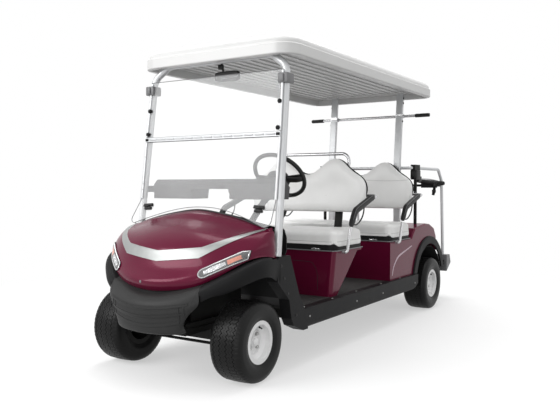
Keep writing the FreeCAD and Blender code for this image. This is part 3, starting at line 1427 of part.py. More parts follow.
def tail():
    """The bag deck, the tail bumper with its wedge ends and the tail lamps."""
    top = s.rail_base_z + s.rail_height
    front, rear = s.bag_deck_front_y, s.bag_deck_rear_y
    plate = bar_across("deck_plate", s.bag_deck_half_width, rear - front, s.bag_deck_height,
                       fore(front), top)
    tongue = bar_across("deck_tongue", s.well_inner_x, front - s.tail_end_y, s.bag_deck_height,
                        fore(s.tail_end_y), top)
    lip = s.bag_deck_lip
    tray = bar_across("deck_tray", s.bag_deck_half_width - lip, rear - front - 2 * lip,
                      s.bag_deck_height, fore(front) + lip, top + lip)
    node("bag_deck", cut("bag_deck", fused("deck_whole", [plate, tongue]), tray))

    wide = s.tail_bumper_half_width
    body = padded("bumper_bar", "YZ", [
        (fore(s.tail_bumper_front_y), s.tail_bumper_low_z),
        (fore(s.tail_bumper_tip_y), s.tail_bumper_tip_z),
        (fore(s.tail_bumper_top_y), s.tail_bumper_top_z),
        (fore(s.tail_bumper_front_y), s.tail_bumper_top_z)], 2 * wide, middle=True)
    rounded(body, s.bag_deck_lip, lambda e: (runs_along(e, X)
                                             and e.BoundBox.YMin > fore(s.tail_bumper_front_y) + s.hair))
    rails = [n for n in nodes if n.Label == "chassis_frame"][0]
    node("rear_bumper", cut("rear_bumper", body, rails))

    lamp = rod("tail_lamp", s.tail_lamp_radius, s.tail_lamp_depth + s.tail_wall,
               (s.tail_lamp_x, fore(s.tail_end_y) - s.tail_wall, s.tail_lamp_z), "y")
    shell = [n for n in nodes if n.Label == "rear_body"][0]
    node("tail_lamps", both_sides("tail_lamps", cut("lamp_cut", lamp, shell)))


def build():
    chassis()
    front_axle()
    tie_rod()
    rear_axle()
    for side_name, x_sign in (("left", 1), ("right", -1)):
        knuckle(side_name, x_sign)
        wheel("front_" + side_name, x_sign, fore(0), s.front_track, s.hub_depth)
        wheel("rear_" + side_name, x_sign, fore(s.wheelbase), s.rear_track, s.hub_depth)
    floor()
    sills()
    cowl = nose()
    bumper_and_fenders(cowl)
    front_liner()
    hoop_tube = hoop()
    bar = windshield()
    node("windshield_bar", cut("windshield_bar", bar, hoop_tube))
    dashboard(hoop_tube)
    steering()
    pedals()
    roof()
    rear_body()
    rear_struts()
    grip_bar()
    mirror()
    front_base()
    row_of_seats("front", s.row_pitch * 0)
    row_of_seats("rear", s.row_pitch)
    seat_frames()
    rear_flares()
    bag_rack()
    tail()
    doc.recompute()


def export():
    """Checks every object, then writes one file for each piece."""
    for thing in doc.Objects:
        if "Invalid" in thing.State or "Error" in thing.State:
            raise RuntimeError(f"{thing.Name} did not build: {thing.State}")
    for thing in nodes:
        if thing.Shape.isNull() or not thing.Shape.isValid():
            raise RuntimeError(f"{thing.Label} has no valid shape")
    os.makedirs("parts", exist_ok=True)
    for thing in nodes:
        thing.Shape.exportStep(f"parts/{thing.Label}.step")


build()
export()
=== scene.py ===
import math
import bmesh
import bpy
from mathutils import Matrix, Vector, noise
from mathutils.bvhtree import BVHTree


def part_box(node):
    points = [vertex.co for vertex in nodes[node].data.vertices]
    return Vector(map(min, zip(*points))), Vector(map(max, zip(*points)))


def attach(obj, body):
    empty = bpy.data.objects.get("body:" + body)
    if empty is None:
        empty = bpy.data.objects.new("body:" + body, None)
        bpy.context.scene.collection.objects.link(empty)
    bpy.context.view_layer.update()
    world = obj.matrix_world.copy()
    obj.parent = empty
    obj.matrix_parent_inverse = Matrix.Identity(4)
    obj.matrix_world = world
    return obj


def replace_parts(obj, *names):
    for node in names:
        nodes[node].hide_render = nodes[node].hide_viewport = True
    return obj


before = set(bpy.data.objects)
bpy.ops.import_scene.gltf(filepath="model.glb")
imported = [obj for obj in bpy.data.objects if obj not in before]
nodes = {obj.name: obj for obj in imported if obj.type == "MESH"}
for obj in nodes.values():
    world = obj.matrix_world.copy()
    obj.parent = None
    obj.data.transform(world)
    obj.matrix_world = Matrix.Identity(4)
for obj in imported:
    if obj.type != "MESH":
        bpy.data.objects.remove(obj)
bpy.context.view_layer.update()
AXLE = -1.5          # the front axle
WHEELBASE = 2.7
HUB_Z = 0.2285       # height of the wheels' middle, and radius of the tyres
PITCH = 0.920        # from the front row of seats to the rear one
scene = bpy.context.scene


# the camera as fitted to the photo, and the light
camera = bpy.data.objects.new("camera", bpy.data.cameras.new("camera"))
scene.collection.objects.link(camera)
camera.location = (2.590, -4.520, 1.0906)
yaw, pitch = math.radians(32.467), math.radians(2.033)
back = Vector((math.sin(yaw) * math.cos(pitch), -math.cos(yaw) * math.cos(pitch), math.sin(pitch)))
camera.rotation_euler = back.to_track_quat("Z", "Y").to_euler()
camera.data.sensor_width, camera.data.lens = 36.0, 42.785
camera.data.clip_end = 60
scene.camera = camera
scene.view_settings.view_transform = "Standard"


def rays(t, *kinds):
    """A value that is 1 for the named kinds of ray and otherwise 0."""
    path = t.nodes.new("ShaderNodeLightPath")
    last = path.outputs[kinds[0]]
    for kind in kinds[1:]:
        add = t.nodes.new("ShaderNodeMath")
        add.operation, add.use_clamp = "ADD", True
        t.links.new(last, add.inputs[0])
        t.links.new(path.outputs[kind], add.inputs[1])
        last = add.outputs[0]
    return last


SEEN = ("Is Camera Ray", "Is Glossy Ray", "Is Transmission Ray")
world = bpy.data.worlds.new("studio")
scene.world = world
world.use_nodes = True
t = world.node_tree
sky = t.nodes["Background"]
sky.inputs["Color"].default_value = (1, 1, 1, 1)
sky.inputs["Strength"].default_value = 0.72
bright = t.nodes.new("ShaderNodeBackground")
bright.inputs["Color"].default_value = (1, 1, 1, 1)
both = t.nodes.new("ShaderNodeMixShader")
t.links.new(rays(t, *SEEN), both.inputs[0])
t.links.new(sky.outputs[0], both.inputs[1])
t.links.new(bright.outputs[0], both.inputs[2])
t.links.new(both.outputs[0], t.nodes["World Output"].inputs["Surface"])


def lamp(name, at, aim, size, power):
    """An area lamp at one point that looks at another."""
    data = bpy.data.lights.new(name, "AREA")
    data.shape, data.size, data.size_y, data.energy = "RECTANGLE", size[0], size[1], power
    light = bpy.data.objects.new(name, data)
    light.location = at
    light.rotation_euler = (Vector(at) - Vector(aim)).to_track_quat("Z", "Y").to_euler()
    scene.collection.objects.link(light)


lamp("overhead", (-0.6, 0.8, 5.2), (0, 0, 0.4), (4.5, 5.5), 250)
lamp("front", (-2.2, -5.2, 3.0), (0, -0.8, 0.7), (3.0, 2.4), 150)
lamp("side", (5.5, 0.2, 2.6), (0, 0.2, 0.6), (4.0, 2.2), 22)
lamp("fill", (2.4, -5.4, 0.9), (0, 0, 0.8), (3.0, 1.2), 40)


# materials
def shade(colour):
    """A colour socket's value, from three shares or from one for a plain grey."""
    return (colour, colour, colour, 1) if isinstance(colour, (int, float)) else (*colour, 1)


def surface(name, low, high, rough, scale, spread=0.05, bump=0.0, bump_scale=900.0, kind="NOISE",
            distance=0.0004, **sockets):
    """Two mottled colours, an uneven gloss and a fine relief, all from object space."""
    m = bpy.data.materials.new(name)
    m.use_nodes = True
    t = m.node_tree
    shader = t.nodes["Principled BSDF"]
    for key, value in sockets.items():
        shader.inputs[key.replace("_", " ")].default_value = value
    where = t.nodes.new("ShaderNodeTexCoord")
    cloud = t.nodes.new("ShaderNodeTexNoise")
    cloud.inputs["Scale"].default_value = scale
    cloud.inputs["Detail"].default_value = 5
    t.links.new(where.outputs["Object"], cloud.inputs["Vector"])
    mix = t.nodes.new("ShaderNodeMix")
    mix.data_type = "RGBA"
    mix.inputs["A"].default_value = shade(low)
    mix.inputs["B"].default_value = shade(high)
    t.links.new(cloud.outputs["Fac"], mix.inputs["Factor"])
    t.links.new(mix.outputs["Result"], shader.inputs["Base Color"])
    span = t.nodes.new("ShaderNodeMapRange")
    span.inputs["To Min"].default_value = max(rough - spread, 0.01)
    span.inputs["To Max"].default_value = rough + spread
    t.links.new(cloud.outputs["Fac"], span.inputs["Value"])
    t.links.new(span.outputs[0], shader.inputs["Roughness"])
    if bump:
        if kind == "CELL":
            fine = t.nodes.new("ShaderNodeTexVoronoi")
            fine.feature = "DISTANCE_TO_EDGE"
            out = "Distance"
        elif kind == "WAVE":
            fine = t.nodes.new("ShaderNodeTexWave")
            fine.bands_direction = "Y"
            out = "Fac"
        else:
            fine = t.nodes.new("ShaderNodeTexNoise")
            fine.inputs["Detail"].default_value = 2
            out = "Fac"
        fine.inputs["Scale"].default_value = bump_scale
        t.links.new(where.outputs["Object"], fine.inputs["Vector"])
        relief = t.nodes.new("ShaderNodeBump")
        relief.inputs["Strength"].default_value = bump
        relief.inputs["Distance"].default_value = distance
        t.links.new(fine.outputs[out], relief.inputs["Height"])
        t.links.new(relief.outputs[0], shader.inputs["Normal"])
    return m


PAINT = surface("paint", (0.092, 0.003, 0.020), (0.125, 0.006, 0.031), 0.25, 1400, 0.04, 0.04, 2500,
                Metallic=0.15, Coat_Weight=0.16, Coat_Roughness=0.03, Specular_IOR_Level=0.12)
# lighter paint for the strip along the rear body's crease: a painted highlight
CREASE_HIGHLIGHT = surface("crease_highlight_paint", (0.36, 0.22, 0.28), (0.46, 0.30, 0.37), 0.30, 60, Coat_Weight=0.5)
TRIM = surface("trim", (0.28, 0.29, 0.29), (0.36, 0.37, 0.36), 0.38, 30, 0.05, 0.05, 700, Metallic=0.6)
BLACK = surface("moulding", 0.008, (0.013, 0.013, 0.014), 0.50, 9, 0.06, 0.35, 1100, "CELL", 0.0003,
                Specular_IOR_Level=0.10)
# a lighter grey than the other black mouldings: painted light for the bumper's front, which faces the lamps
BUMPER = surface("bumper_moulding", 0.022, 0.032, 0.46, 9, 0.05, 0.3, 1100, "CELL", 0.0003,
                 Specular_IOR_Level=0.15)
# near black for joints and gaps; in the bumper's slots it is painted shade
GAP = surface("gap", 0.004, 0.008, 0.75, 20, bump=0.2)
FRAME = surface("frame_paint", 0.007, (0.015, 0.015, 0.014), 0.50, 12, 0.1, 0.2, 300, Specular_IOR_Level=0.13)
STEEL = surface("steel", 0.34, (0.50, 0.50, 0.49), 0.36, 60, 0.08, Metallic=0.7)
SILVER = surface("silver_tube", (0.54, 0.55, 0.56), (0.62, 0.63, 0.64), 0.38, 24, 0.04, Metallic=0.35)
CHROME = surface("chrome", (0.52, 0.52, 0.53), (0.62, 0.62, 0.63), 0.24, 30, 0.04, Metallic=0.75)
ROOF = surface("roof_moulding", (0.60, 0.60, 0.595), (0.66, 0.66, 0.655), 0.36, 5, 0.06, 0.12, 1500)
VINYL = surface("vinyl", (0.80, 0.80, 0.79), (0.87, 0.87, 0.86), 0.30, 7, 0.06, 0.5, 520, "CELL", 0.0006,
                Sheen_Weight=0.15)
# a grey darker than the vinyl for the seams: painted shade along each seam
SEAM_SHADE = surface("seam", (0.52, 0.52, 0.51), (0.62, 0.62, 0.61), 0.6, 90, 0.05, 0.4, 1800)
RUBBER = surface("tyre_rubber", 0.005, 0.009, 0.40, 14, 0.08, 0.25, 800, Specular_IOR_Level=0.16)
RIM = surface("rim_paint", 0.76, 0.84, 0.34, 12, 0.06, 0.08, 900)
MAT = surface("floor_mat", (0.012, 0.013, 0.012), (0.022, 0.023, 0.021), 0.62, 8, 0.08, 0.7, 26, "WAVE", 0.002)
DASH = surface("dash_moulding", (0.014, 0.014, 0.015), (0.024, 0.024, 0.025), 0.5, 9, 0.05, 0.3, 1100, "CELL",
               0.0003)
# a mid grey moulding; on the arm pads' ridges it is a painted highlight
GREY = surface("grey_moulding", (0.13, 0.13, 0.135), (0.19, 0.19, 0.195), 0.45, 12, 0.06, 0.2, 900)
GRIP = surface("grip", 0.008, 0.016, 0.50, 20, 0.06, 0.6, 420, "CELL", 0.0005, Specular_IOR_Level=0.28)
MIRROR = surface("mirror_face", (0.80, 0.81, 0.82), (0.84, 0.85, 0.86), 0.04, 10, 0.02, Metallic=1.0)
RED = surface("red_lens", (0.35, 0.008, 0.008), (0.48, 0.015, 0.012), 0.16, 60, 0.04, 0.5, 260, "CELL", 0.0008,
              Coat_Weight=0.6)
AMBER = surface("amber_lens", (0.55, 0.12, 0.06), (0.72, 0.22, 0.10), 0.22, 80, 0.05, 0.5, 300, "CELL", 0.0008,
                Coat_Weight=0.5)
REFLECTOR = surface("reflector", (0.35, 0.36, 0.37), (0.82, 0.83, 0.84), 0.16, 140, 0.06, 0.8, 120, "CELL",
                    0.002, Metallic=0.8)
GLASS = surface("clear_sheet", (0.93, 0.94, 0.95), (0.97, 0.98, 0.98), 0.06, 3, 0.03, Alpha=0.17, IOR=1.3)
LENS = surface("clear_lens", (0.95, 0.96, 0.97), 1, 0.05, 3, 0.02, Alpha=0.14)

finish_of = {
    "chassis_frame": FRAME, "front_axle": FRAME, "rear_axle": FRAME, "tie_rod": FRAME, "knuckle_left": FRAME,
    "knuckle_right": FRAME, "battery_pack": FRAME, "front_cowl": PAINT, "cowl_trim": TRIM, "headlamps": GAP,
    "front_bumper": BUMPER, "front_fenders": BLACK, "front_liner": BLACK, "dashboard": DASH,
    "steering_column": BLACK, "steering_wheel": GRIP, "pedals": STEEL, "windshield_lower": GLASS,
    "windshield_upper": GLASS, "windshield_bar": SILVER, "front_hoop": SILVER, "rear_struts": SILVER,
    "roof": ROOF, "mirror": GRIP, "grip_bar": CHROME, "floor": MAT, "sills": BLACK, "front_seat_base": PAINT,
    "front_pan": BLACK, "rear_pan": BLACK, "front_posts": FRAME, "front_rails": CHROME, "rear_rails": CHROME,
    "rear_body": PAINT, "rear_flares": BLACK, "bag_rack": SILVER, "rack_posts": FRAME, "bag_holder": BLACK,
    "bag_deck": BLACK, "rear_bumper": GREY, "tail_lamps": RED, "arm_pads": GRIP, "front_cushion": VINYL,
    "rear_cushion": VINYL, "front_backrest": VINYL, "rear_backrest": VINYL,
}
for end in ("front", "rear"):
    for hand in ("left", "right"):
        finish_of["tyre_" + end + "_" + hand] = RUBBER
        finish_of["rim_" + end + "_" + hand] = RIM
for label, finish in finish_of.items():
    for holder in nodes[label].material_slots:
        holder.material = finish


# making pieces
def keep(obj, finish, body="cart", smooth=True):
    """Gives a piece its material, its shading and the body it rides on."""
    obj.data.materials.clear()
    obj.data.materials.append(finish)
    for p in obj.data.polygons:
        p.use_smooth = smooth
    if smooth:
        obj.data.set_sharp_from_angle(angle=math.radians(38))
    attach(obj, body)
    return obj


def mesh(name, verts, faces, finish, body="cart", smooth=True):
    """A kept piece from plain vertices and faces, all of them turned outward."""
    data = bpy.data.meshes.new(name)
    data.from_pydata([tuple(v) for v in verts], [], faces)
    data.validate()
    bm = bmesh.new()
    bm.from_mesh(data)
    bmesh.ops.recalc_face_normals(bm, faces=bm.faces)
    bm.to_mesh(data)
    bm.free()
    obj = bpy.data.objects.new(name, data)
    scene.collection.objects.link(obj)
    return keep(obj, finish, body, smooth)


class Bag:
    """Collects many small forms into one mesh."""
    def __init__(self):
        self.verts, self.faces = [], []

    def add(self, verts, faces):
        n = len(self.verts)
        self.verts += [Vector(v) for v in verts]
        self.faces += [tuple(i + n for i in f) for f in faces]

    def done(self, name, finish, body="cart", smooth=True):
        return mesh(name, self.verts, self.faces, finish, body, smooth)


def basis(way):
    """Two directions square to way and to each other."""
    way = Vector(way).normalized()
    side = way.cross(Vector((0, 0, 1)) if abs(way.z) < 0.9 else Vector((1, 0, 0))).normalized()
    return way, side, way.cross(side)


def lathe(bag, centre, way, profile, count=24, closed=False):
    """Turns (along, radius) pairs about an axis."""
    way, side, up = basis(way)
    verts, faces, n = [], [], len(profile)
    for k in range(count):
        a = 2 * math.pi * k / count
        out = side * math.cos(a) + up * math.sin(a)
        verts += [Vector(centre) + way * p + out * r for p, r in profile]
    for k in range(count):
        a, b = k * n, (k + 1) % count * n
        for i in range(n if closed else n - 1):
            j = (i + 1) % n
            faces.append((a + i, a + j, b + j, b + i))
    if not closed:
        faces.append(tuple(k * n for k in range(count)))
        faces.append(tuple(k * n + n - 1 for k in range(count)))
    bag.add(verts, faces)


def screw(bag, at, way, r, height):
    lathe(bag, at, way, [(-0.002, r), (height * 0.35, r), (height * 0.8, r * 0.8), (height, r * 0.45)], 14)


def hexagon(bag, at, way, r, height):
    lathe(bag, at, way, [(-0.002, r), (height * 0.85, r), (height, r * 0.86)], 6)


def block(bag, low, high, bevel=0.003, turn=None, about=None):
    """A box with bevelled edges."""
    bm = bmesh.new()
    bmesh.ops.create_cube(bm, size=1)
    size = Vector(high) - Vector(low)
    mid = (Vector(high) + Vector(low)) / 2
    for v in bm.verts:
        v.co = Vector((v.co.x * size.x, v.co.y * size.y, v.co.z * size.z)) + mid
    bmesh.ops.bevel(bm, geom=bm.edges[:], offset=min(bevel, min(size) * 0.45), segments=2, affect="EDGES",
                    profile=0.5)
    if turn is not None:
        base = Vector(about) if about is not None else mid
        for v in bm.verts:
            v.co = turn @ (v.co - base) + base
    bm.verts.index_update()
    bag.add([v.co.copy() for v in bm.verts], [tuple(v.index for v in f.verts) for f in bm.faces])
    bm.free()


def sweep(bag, points, section, ups=None, closed=False, scale=None):
    """Carries a cross section of (side, up) pairs along points."""
    pts = [Vector(p) for p in points]
    n, m = len(pts), len(section)
    verts, faces, side = [], [], None
    for i, p in enumerate(pts):
        before = pts[i - 1] if (i or closed) else p
        after = pts[(i + 1) % n] if (i < n - 1 or closed) else p
        way = (after - before).normalized()
        if ups is not None:
            up = Vector(ups[i] if isinstance(ups, list) else ups)
            side = way.cross(up).normalized()
        elif side is None:
            side = basis(way)[1]
        else:
            side = (side - way * side.dot(way)).normalized()
        up = side.cross(way)
        k = scale[i] if scale else 1
        verts += [p + side * a * k + up * b * k for a, b in section]
    for i in range(n if closed else n - 1):
        a, b = i * m, (i + 1) % n * m
        faces += [(a + j, a + (j + 1) % m, b + (j + 1) % m, b + j) for j in range(m)]
    if not closed:
        faces += [tuple(range(m)), tuple(range((n - 1) * m, n * m))]
    bag.add(verts, faces)


def spread(first, last, count):
    """Even steps from one value to another, both included."""
    return [first + (last - first) * k / count for k in range(count + 1)]


def round_section(r, count=10, flat=1.0):
    """A circle or a flattened one, for sweep."""
    turns = [2 * math.pi * k / count for k in range(count)]
    return [(r * math.cos(a), r * flat * math.sin(a)) for a in turns]


def smooth_path(points, steps=8, closed=False):
    """Catmull-Rom through the points."""
    pts = [Vector(p) for p in points]
    n, out = len(pts), []
    for i in range(n if closed else n - 1):
        get = (lambda j: pts[j % n]) if closed else (lambda j: pts[min(max(j, 0), n - 1)])
        a, b, c, d = get(i - 1), get(i), get(i + 1), get(i + 2)
        for k in range(steps):
            t = k / steps
            out.append(0.5 * (2 * b + (c - a) * t + (2 * a - 5 * b + 4 * c - d) * t * t
                              + (3 * b - a - 3 * c + d) * t ** 3))
    if not closed:
        out.append(pts[-1])
    return out


def oval(a, b, power, count=36, shift=(0, 0)):
    """A superellipse, for stack."""
    out = []
    for k in range(count):
        c, s = math.cos(2 * math.pi * k / count), math.sin(2 * math.pi * k / count)
        out.append((shift[0] + math.copysign(a * abs(c) ** (2 / power), c),
                    shift[1] + math.copysign(b * abs(s) ** (2 / power), s)))
    return out


def stack(bag, centre, axes, outline, layers):
    """Piles scaled copies of an outline into a pad with soft edges."""
    u, v, n = axes
    m, verts = len(outline), []
    for k, c in layers:
        verts += [Vector(centre) + u * a * k + v * b * k + n * c for a, b in outline]
    faces = [(i * m + j, i * m + (j + 1) % m, (i + 1) * m + (j + 1) % m, (i + 1) * m + j)
             for i in range(len(layers) - 1) for j in range(m)]
    bag.add(verts, faces + [tuple(range(m)), tuple(range(len(verts) - m, len(verts)))])


trees = {}


def tree_of(data):
    spots = [v.co.copy() for v in data.vertices]
    return BVHTree.FromPolygons(spots, [tuple(p.vertices) for p in data.polygons])


def meet(tree, start, way):
    """Where a line meets a surface and the way that faces, or None."""
    way = Vector(way).normalized()
    at, normal, _, _ = tree.ray_cast(Vector(start), way)
    return None if at is None else (at, normal if normal.dot(way) < 0 else -normal)


def cast(label, start, way):
    """Where a line meets a CAD node, and the way its surface faces."""
    if label not in trees:
        trees[label] = tree_of(nodes[label].data)
    hit = meet(trees[label], start, way)
    if hit is None:
        raise ValueError("nothing of " + label + " at " + str(tuple(start)))
    return hit


def on_side(label, y, z, hand):
    return cast(label, (hand * 1.2, y, z), (-hand, 0, 0))


def on_front(label, x, z):
    return cast(label, (x, -2.4, z), (0, 1, 0))


def strip(bag, hits, half, lift, depth=0.002, scale=None):
    """A low strip that follows a surface."""
    points = [p + n * (lift - depth / 2) for p, n in hits]
    crown = half * 0.8
    section = [(-half, -depth / 2), (half, -depth / 2), (crown, depth / 2), (-crown, depth / 2)]
    sweep(bag, points, section, [n for _, n in hits], scale=scale)


# tyres with a zigzag tread, rim fittings
BEAD, WALL = 0.104, 0.1245                       # radius at the bead, and the height from there to the tread
LOW_WALL = ((0.083, 0), (0.0845, 0.006), (0.0885, 0.012), (0.0925, 0.020), (0.0945, 0.024), (0.0950, 0.028))
HIGH_WALL = ((0.1010, 0.30), (0.1035, 0.40), (0.1050, 0.50), (0.1045, 0.60), (0.1050, 0.66), (0.1040, 0.70),
             (0.1005, 0.79), (0.0945, 0.88), (0.0935, 0.885), (0.0900, 0.925))
SHOULDER = [(0.0800, 0.2235), (0.0760, 0.2250), (0.0700, 0.2262)]
BOLD, FINE = (0.0026, 0.007), (0.0011, 0.003)    # a groove's half width and depth
GROOVES = ((0.062, BOLD), (0.0415, FINE), (0.021, BOLD), (0, FINE), (-0.021, BOLD), (-0.0415, FINE),
           (-0.062, BOLD))
TREAD_STEPS, ZIG_STEPS, ZIG_REACH = 432, 8, 0.014
NOTCH = 0.0022                                   # depth of the cuts along the shoulder


def tyre(label, x0, y0, out, body):
    wall = [(x, BEAD + rise) for x, rise in LOW_WALL] + [(x, BEAD + WALL * share) for x, share in HIGH_WALL]
    wall += SHOULDER
    profile = [(x, r, False) for x, r in wall]
    for g, (half, deep) in GROOVES:
        crown = HUB_Z - 0.675 * g * g
        for dx, drop in ((half, 0), (half * 0.7, deep), (-half * 0.7, deep), (-half, 0)):
            profile.append((g + dx, crown - drop, True))
    profile += [(-x, r, False) for x, r in reversed(wall)]
    profile += [(-0.075, BEAD + 0.001, False), (0.075, BEAD + 0.001, False)]
    m = len(profile)
    verts, faces = [], []
    for k in range(TREAD_STEPS):
        a = 2 * math.pi * k / TREAD_STEPS
        phase = k % ZIG_STEPS
        zig = min(phase, ZIG_STEPS - phase) / (ZIG_STEPS / 2) * ZIG_REACH - ZIG_REACH / 2
        for x, r, zigzags in profile:
            if phase < 2 and 0.079 < abs(x) < 0.091 and r > 0.217:
                r -= NOTCH
            x += zig if zigzags else 0
            verts.append((x0 + out * x, y0 + r * math.sin(a), HUB_Z + r * math.cos(a)))
    for k in range(TREAD_STEPS):
        a, b = k * m, (k + 1) % TREAD_STEPS * m
        faces += [(a + i, a + (i + 1) % m, b + (i + 1) % m, b + i) for i in range(m)]
    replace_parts(mesh(label + "_treaded", verts, faces, RUBBER, body), label)


BOLT_CIRCLE, DISC_FACE, HUB_FACE = 0.051, 0.0362, 0.0545
VALVE_ANGLE, VALVE_CIRCLE = math.radians(62), 0.086
HUB_CAP = [(-0.003, 0.0235), (0.004, 0.0235), (0.010, 0.0215), (0.0135, 0.016), (0.015, 0.008),
           (0.0152, 0.002)]
VALVE = [(-0.010, 0.0055), (0.010, 0.0048), (0.012, 0.0038), (0.024, 0.0036), (0.026, 0.0030)]
for end, y0, track in (("front", AXLE, 0.900), ("rear", AXLE + WHEELBASE, 0.934)):
    for hand, out in (("left", 1), ("right", -1)):
        which, outward = end + "_" + hand, (out, 0, 0)
        body, x0 = which + "_wheel", out * track / 2
        tyre("tyre_" + which, x0, y0, out, body)
        nuts, hub, valve = Bag(), Bag(), Bag()
        for k in range(4):
            a = math.pi / 4 + k * math.pi / 2
            y, z = y0 + BOLT_CIRCLE * math.cos(a), HUB_Z + BOLT_CIRCLE * math.sin(a)
            hexagon(nuts, (x0 + out * DISC_FACE, y, z), outward, 0.0105, 0.013)
            lathe(nuts, (x0 + out * (DISC_FACE + 0.013), y, z), outward,
                  [(-0.001, 0.0085), (0.003, 0.006), (0.004, 0.003)], 12)
        nuts.done("nuts_" + which, STEEL, body)
        lathe(hub, (x0 + out * HUB_FACE, y0, HUB_Z), outward, HUB_CAP, 32)
        hub.done("hub_cap_" + which, RIM, body)
        c, d = math.cos(VALVE_ANGLE), math.sin(VALVE_ANGLE)
        lathe(valve, (x0 + out * 0.052, y0 + VALVE_CIRCLE * c, HUB_Z + VALVE_CIRCLE * d),
              (out, -0.35 * c, -0.35 * d), VALVE, 12)
        valve.done("valve_" + which, GRIP, body)


# padded vinyl: cushions and backrests, swelled by a cloth simulation
VOXEL = 0.0085
CLOTH_FRAMES = 18
SEAT_X = 0.26        # middle of each seat in a row


def blow_up(obj, held, cap, pressure):
    """Swells a mesh by cloth with pressure inside; no vertex moves further than cap."""
    rest = [v.co.copy() for v in obj.data.vertices]
    cloth = obj.modifiers.new("cloth", "CLOTH")
    values = cloth.settings
    values.quality, values.mass = 6, 0.3
    values.tension_stiffness = values.compression_stiffness = 12
    values.bending_stiffness = 2.0
    values.use_pressure, values.uniform_pressure_force = True, pressure
    values.effector_weights.gravity = 0
    cloth.collision_settings.use_collision = False
    if held:
        group = obj.vertex_groups.new(name="rest")
        group.add([i for i, c in enumerate(rest) if held(c)], 1.0, "REPLACE")
        values.vertex_group_mass = "rest"
    cloth.point_cache.frame_start, cloth.point_cache.frame_end = 1, CLOTH_FRAMES
    for f in range(1, CLOTH_FRAMES + 1):
        scene.frame_set(f)
    swollen = obj.evaluated_get(bpy.context.evaluated_depsgraph_get()).to_mesh()
    moved = [v.co.copy() for v in swollen.vertices]
    obj.modifiers.remove(cloth)
    scene.frame_set(1)
    for v, a, b in zip(obj.data.vertices, rest, moved):
        step = b - a
        if step.length > cap:
            step *= cap / step.length
        v.co = a + step


def apply_modifier(obj, name, kind, **values):
    modifier = obj.modifiers.new(name, kind)
    for key, value in values.items():
        setattr(modifier, key, value)
    bpy.context.view_layer.objects.active = obj
    bpy.ops.object.modifier_apply(modifier=name)


def swell(label, shrink, cap, held=None, pressure=4.0):
    """A soft copy of a CAD pad: drawn in, remeshed, blown up and held where it rests."""
    obj = bpy.data.objects.new(label + "_soft", nodes[label].data.copy())
    scene.collection.objects.link(obj)
    low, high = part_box(label)
    mid = (low + high) / 2
    for v in obj.data.vertices:
        for i in range(3):
            half = (high[i] - low[i]) / 2
            v.co[i] = mid[i] + (v.co[i] - mid[i]) * (half - shrink[i]) / half
    bpy.ops.object.select_all(action="DESELECT")
    obj.select_set(True)
    apply_modifier(obj, "remesh", "REMESH", mode="VOXEL", voxel_size=VOXEL)
    blow_up(obj, held, cap, pressure)
    return obj


def dress(obj, label, body):
    """Vinyl on a pad that stands for its CAD node."""
    keep(obj, VINYL, body)
    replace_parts(obj, label)


def finish_pad(obj, label, body):
    apply_modifier(obj, "relax", "SMOOTH", factor=0.5, iterations=4)
    apply_modifier(obj, "fine", "SUBSURF", levels=1, render_levels=1)
    dress(obj, label, body)


def copy_pad(obj, label, body):
    """The same pad in the rear row."""
    twin = bpy.data.objects.new(label + "_soft", obj.data.copy())
    scene.collection.objects.link(twin)
    twin.data.transform(Matrix.Translation((0, PITCH, 0)))
    dress(twin, label, body)


c_low, c_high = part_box("front_cushion")
cushion = swell("front_cushion", (-0.007, 0.001, 0.000), 0.009, lambda c: c.z < c_low.z + 0.016, 5.0)
for v in cushion.data.vertices:
    # the cover's edge hangs over the pan on three sides
    out = max(abs(v.co.x) - (c_high.x - 0.020), (c_low.y + 0.020) - v.co.y)
    drop = min(1.0, max(0.0, out / 0.016)) * min(1.0, max(0.0, (c_low.z + 0.050 - v.co.z) / 0.040))
    v.co.z -= 0.024 * drop
    # a soft fold where the two seats meet
    top = max(0.0, (v.co.z - c_low.z - 0.03) / 0.06)
    v.co.z -= 0.006 * math.exp(-(v.co.x / 0.022) ** 2) * top
    # gathers along the front roll
    front = max(0.0, 1 - (v.co.y - c_low.y) / 0.11)
    wave = math.sin(v.co.x * 61 + 1.3 * math.sin(v.co.x * 17)) * 0.0016 + noise.noise(v.co * 9) * 0.002
    v.co.y += wave * front * 0.8
    v.co.z += wave * front * top * 0.7
    # a dished seat for each rider
    for hand in (1, -1):
        seat = ((v.co.x - hand * SEAT_X) / 0.21) ** 2 + ((v.co.y - (c_low.y + 0.24)) / 0.16) ** 2
        if seat < 1:
            v.co.z -= 0.007 * (1 - seat) ** 2 * top
finish_pad(cushion, "front_cushion", "front_lid")
copy_pad(cushion, "rear_cushion", "rear_lid")

backrest = swell("front_backrest", (0.009, 0.016, 0.007), 0.010)
b_low, b_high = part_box("front_backrest")
CORNER = 0.105       # radius of a backrest's lower corners


def round_corners(co, half, foot):
    """Rounds the two lower corners of a backrest."""
    dx, dz = abs(co.x) - (half - CORNER), foot + CORNER - co.z
    if dx > 0 and dz > 0:
        keep_in = max(dx, dz) / math.hypot(dx, dz)
        co.x = math.copysign(half - CORNER + dx * keep_in, co.x)
        co.z = foot + CORNER - dz * keep_in


for v in backrest.data.vertices:
    height = v.co.z - b_low.z
    for hand in (1, -1):
        lumbar = ((v.co.x - hand * SEAT_X) / 0.22) ** 2 + ((height - 0.19) / 0.15) ** 2
        if lumbar < 1 and v.co.y < (b_low.y + b_high.y) / 2 + height * 0.1 - 0.02:
            v.co.y += 0.006 * (1 - lumbar) ** 2
    v.co.y += noise.noise(Vector((v.co.x * 7, v.co.z * 9, 2.0))) * 0.0022
    round_corners(v.co, b_high.x - 0.006, b_low.z + 0.004)
finish_pad(backrest, "front_backrest", "cart")
copy_pad(backrest, "rear_backrest", "cart")


def stitch(bag, tree, starts, way, half=0.0022):
    """A seam where lines from the starts meet a pad."""
    hits = [hit for hit in (meet(tree, p, way) for p in starts) if hit]
    sweep(bag, [p + n * 0.0002 for p, n in hits], round_section(half, 8, 0.0022 / half), [n for _, n in hits])
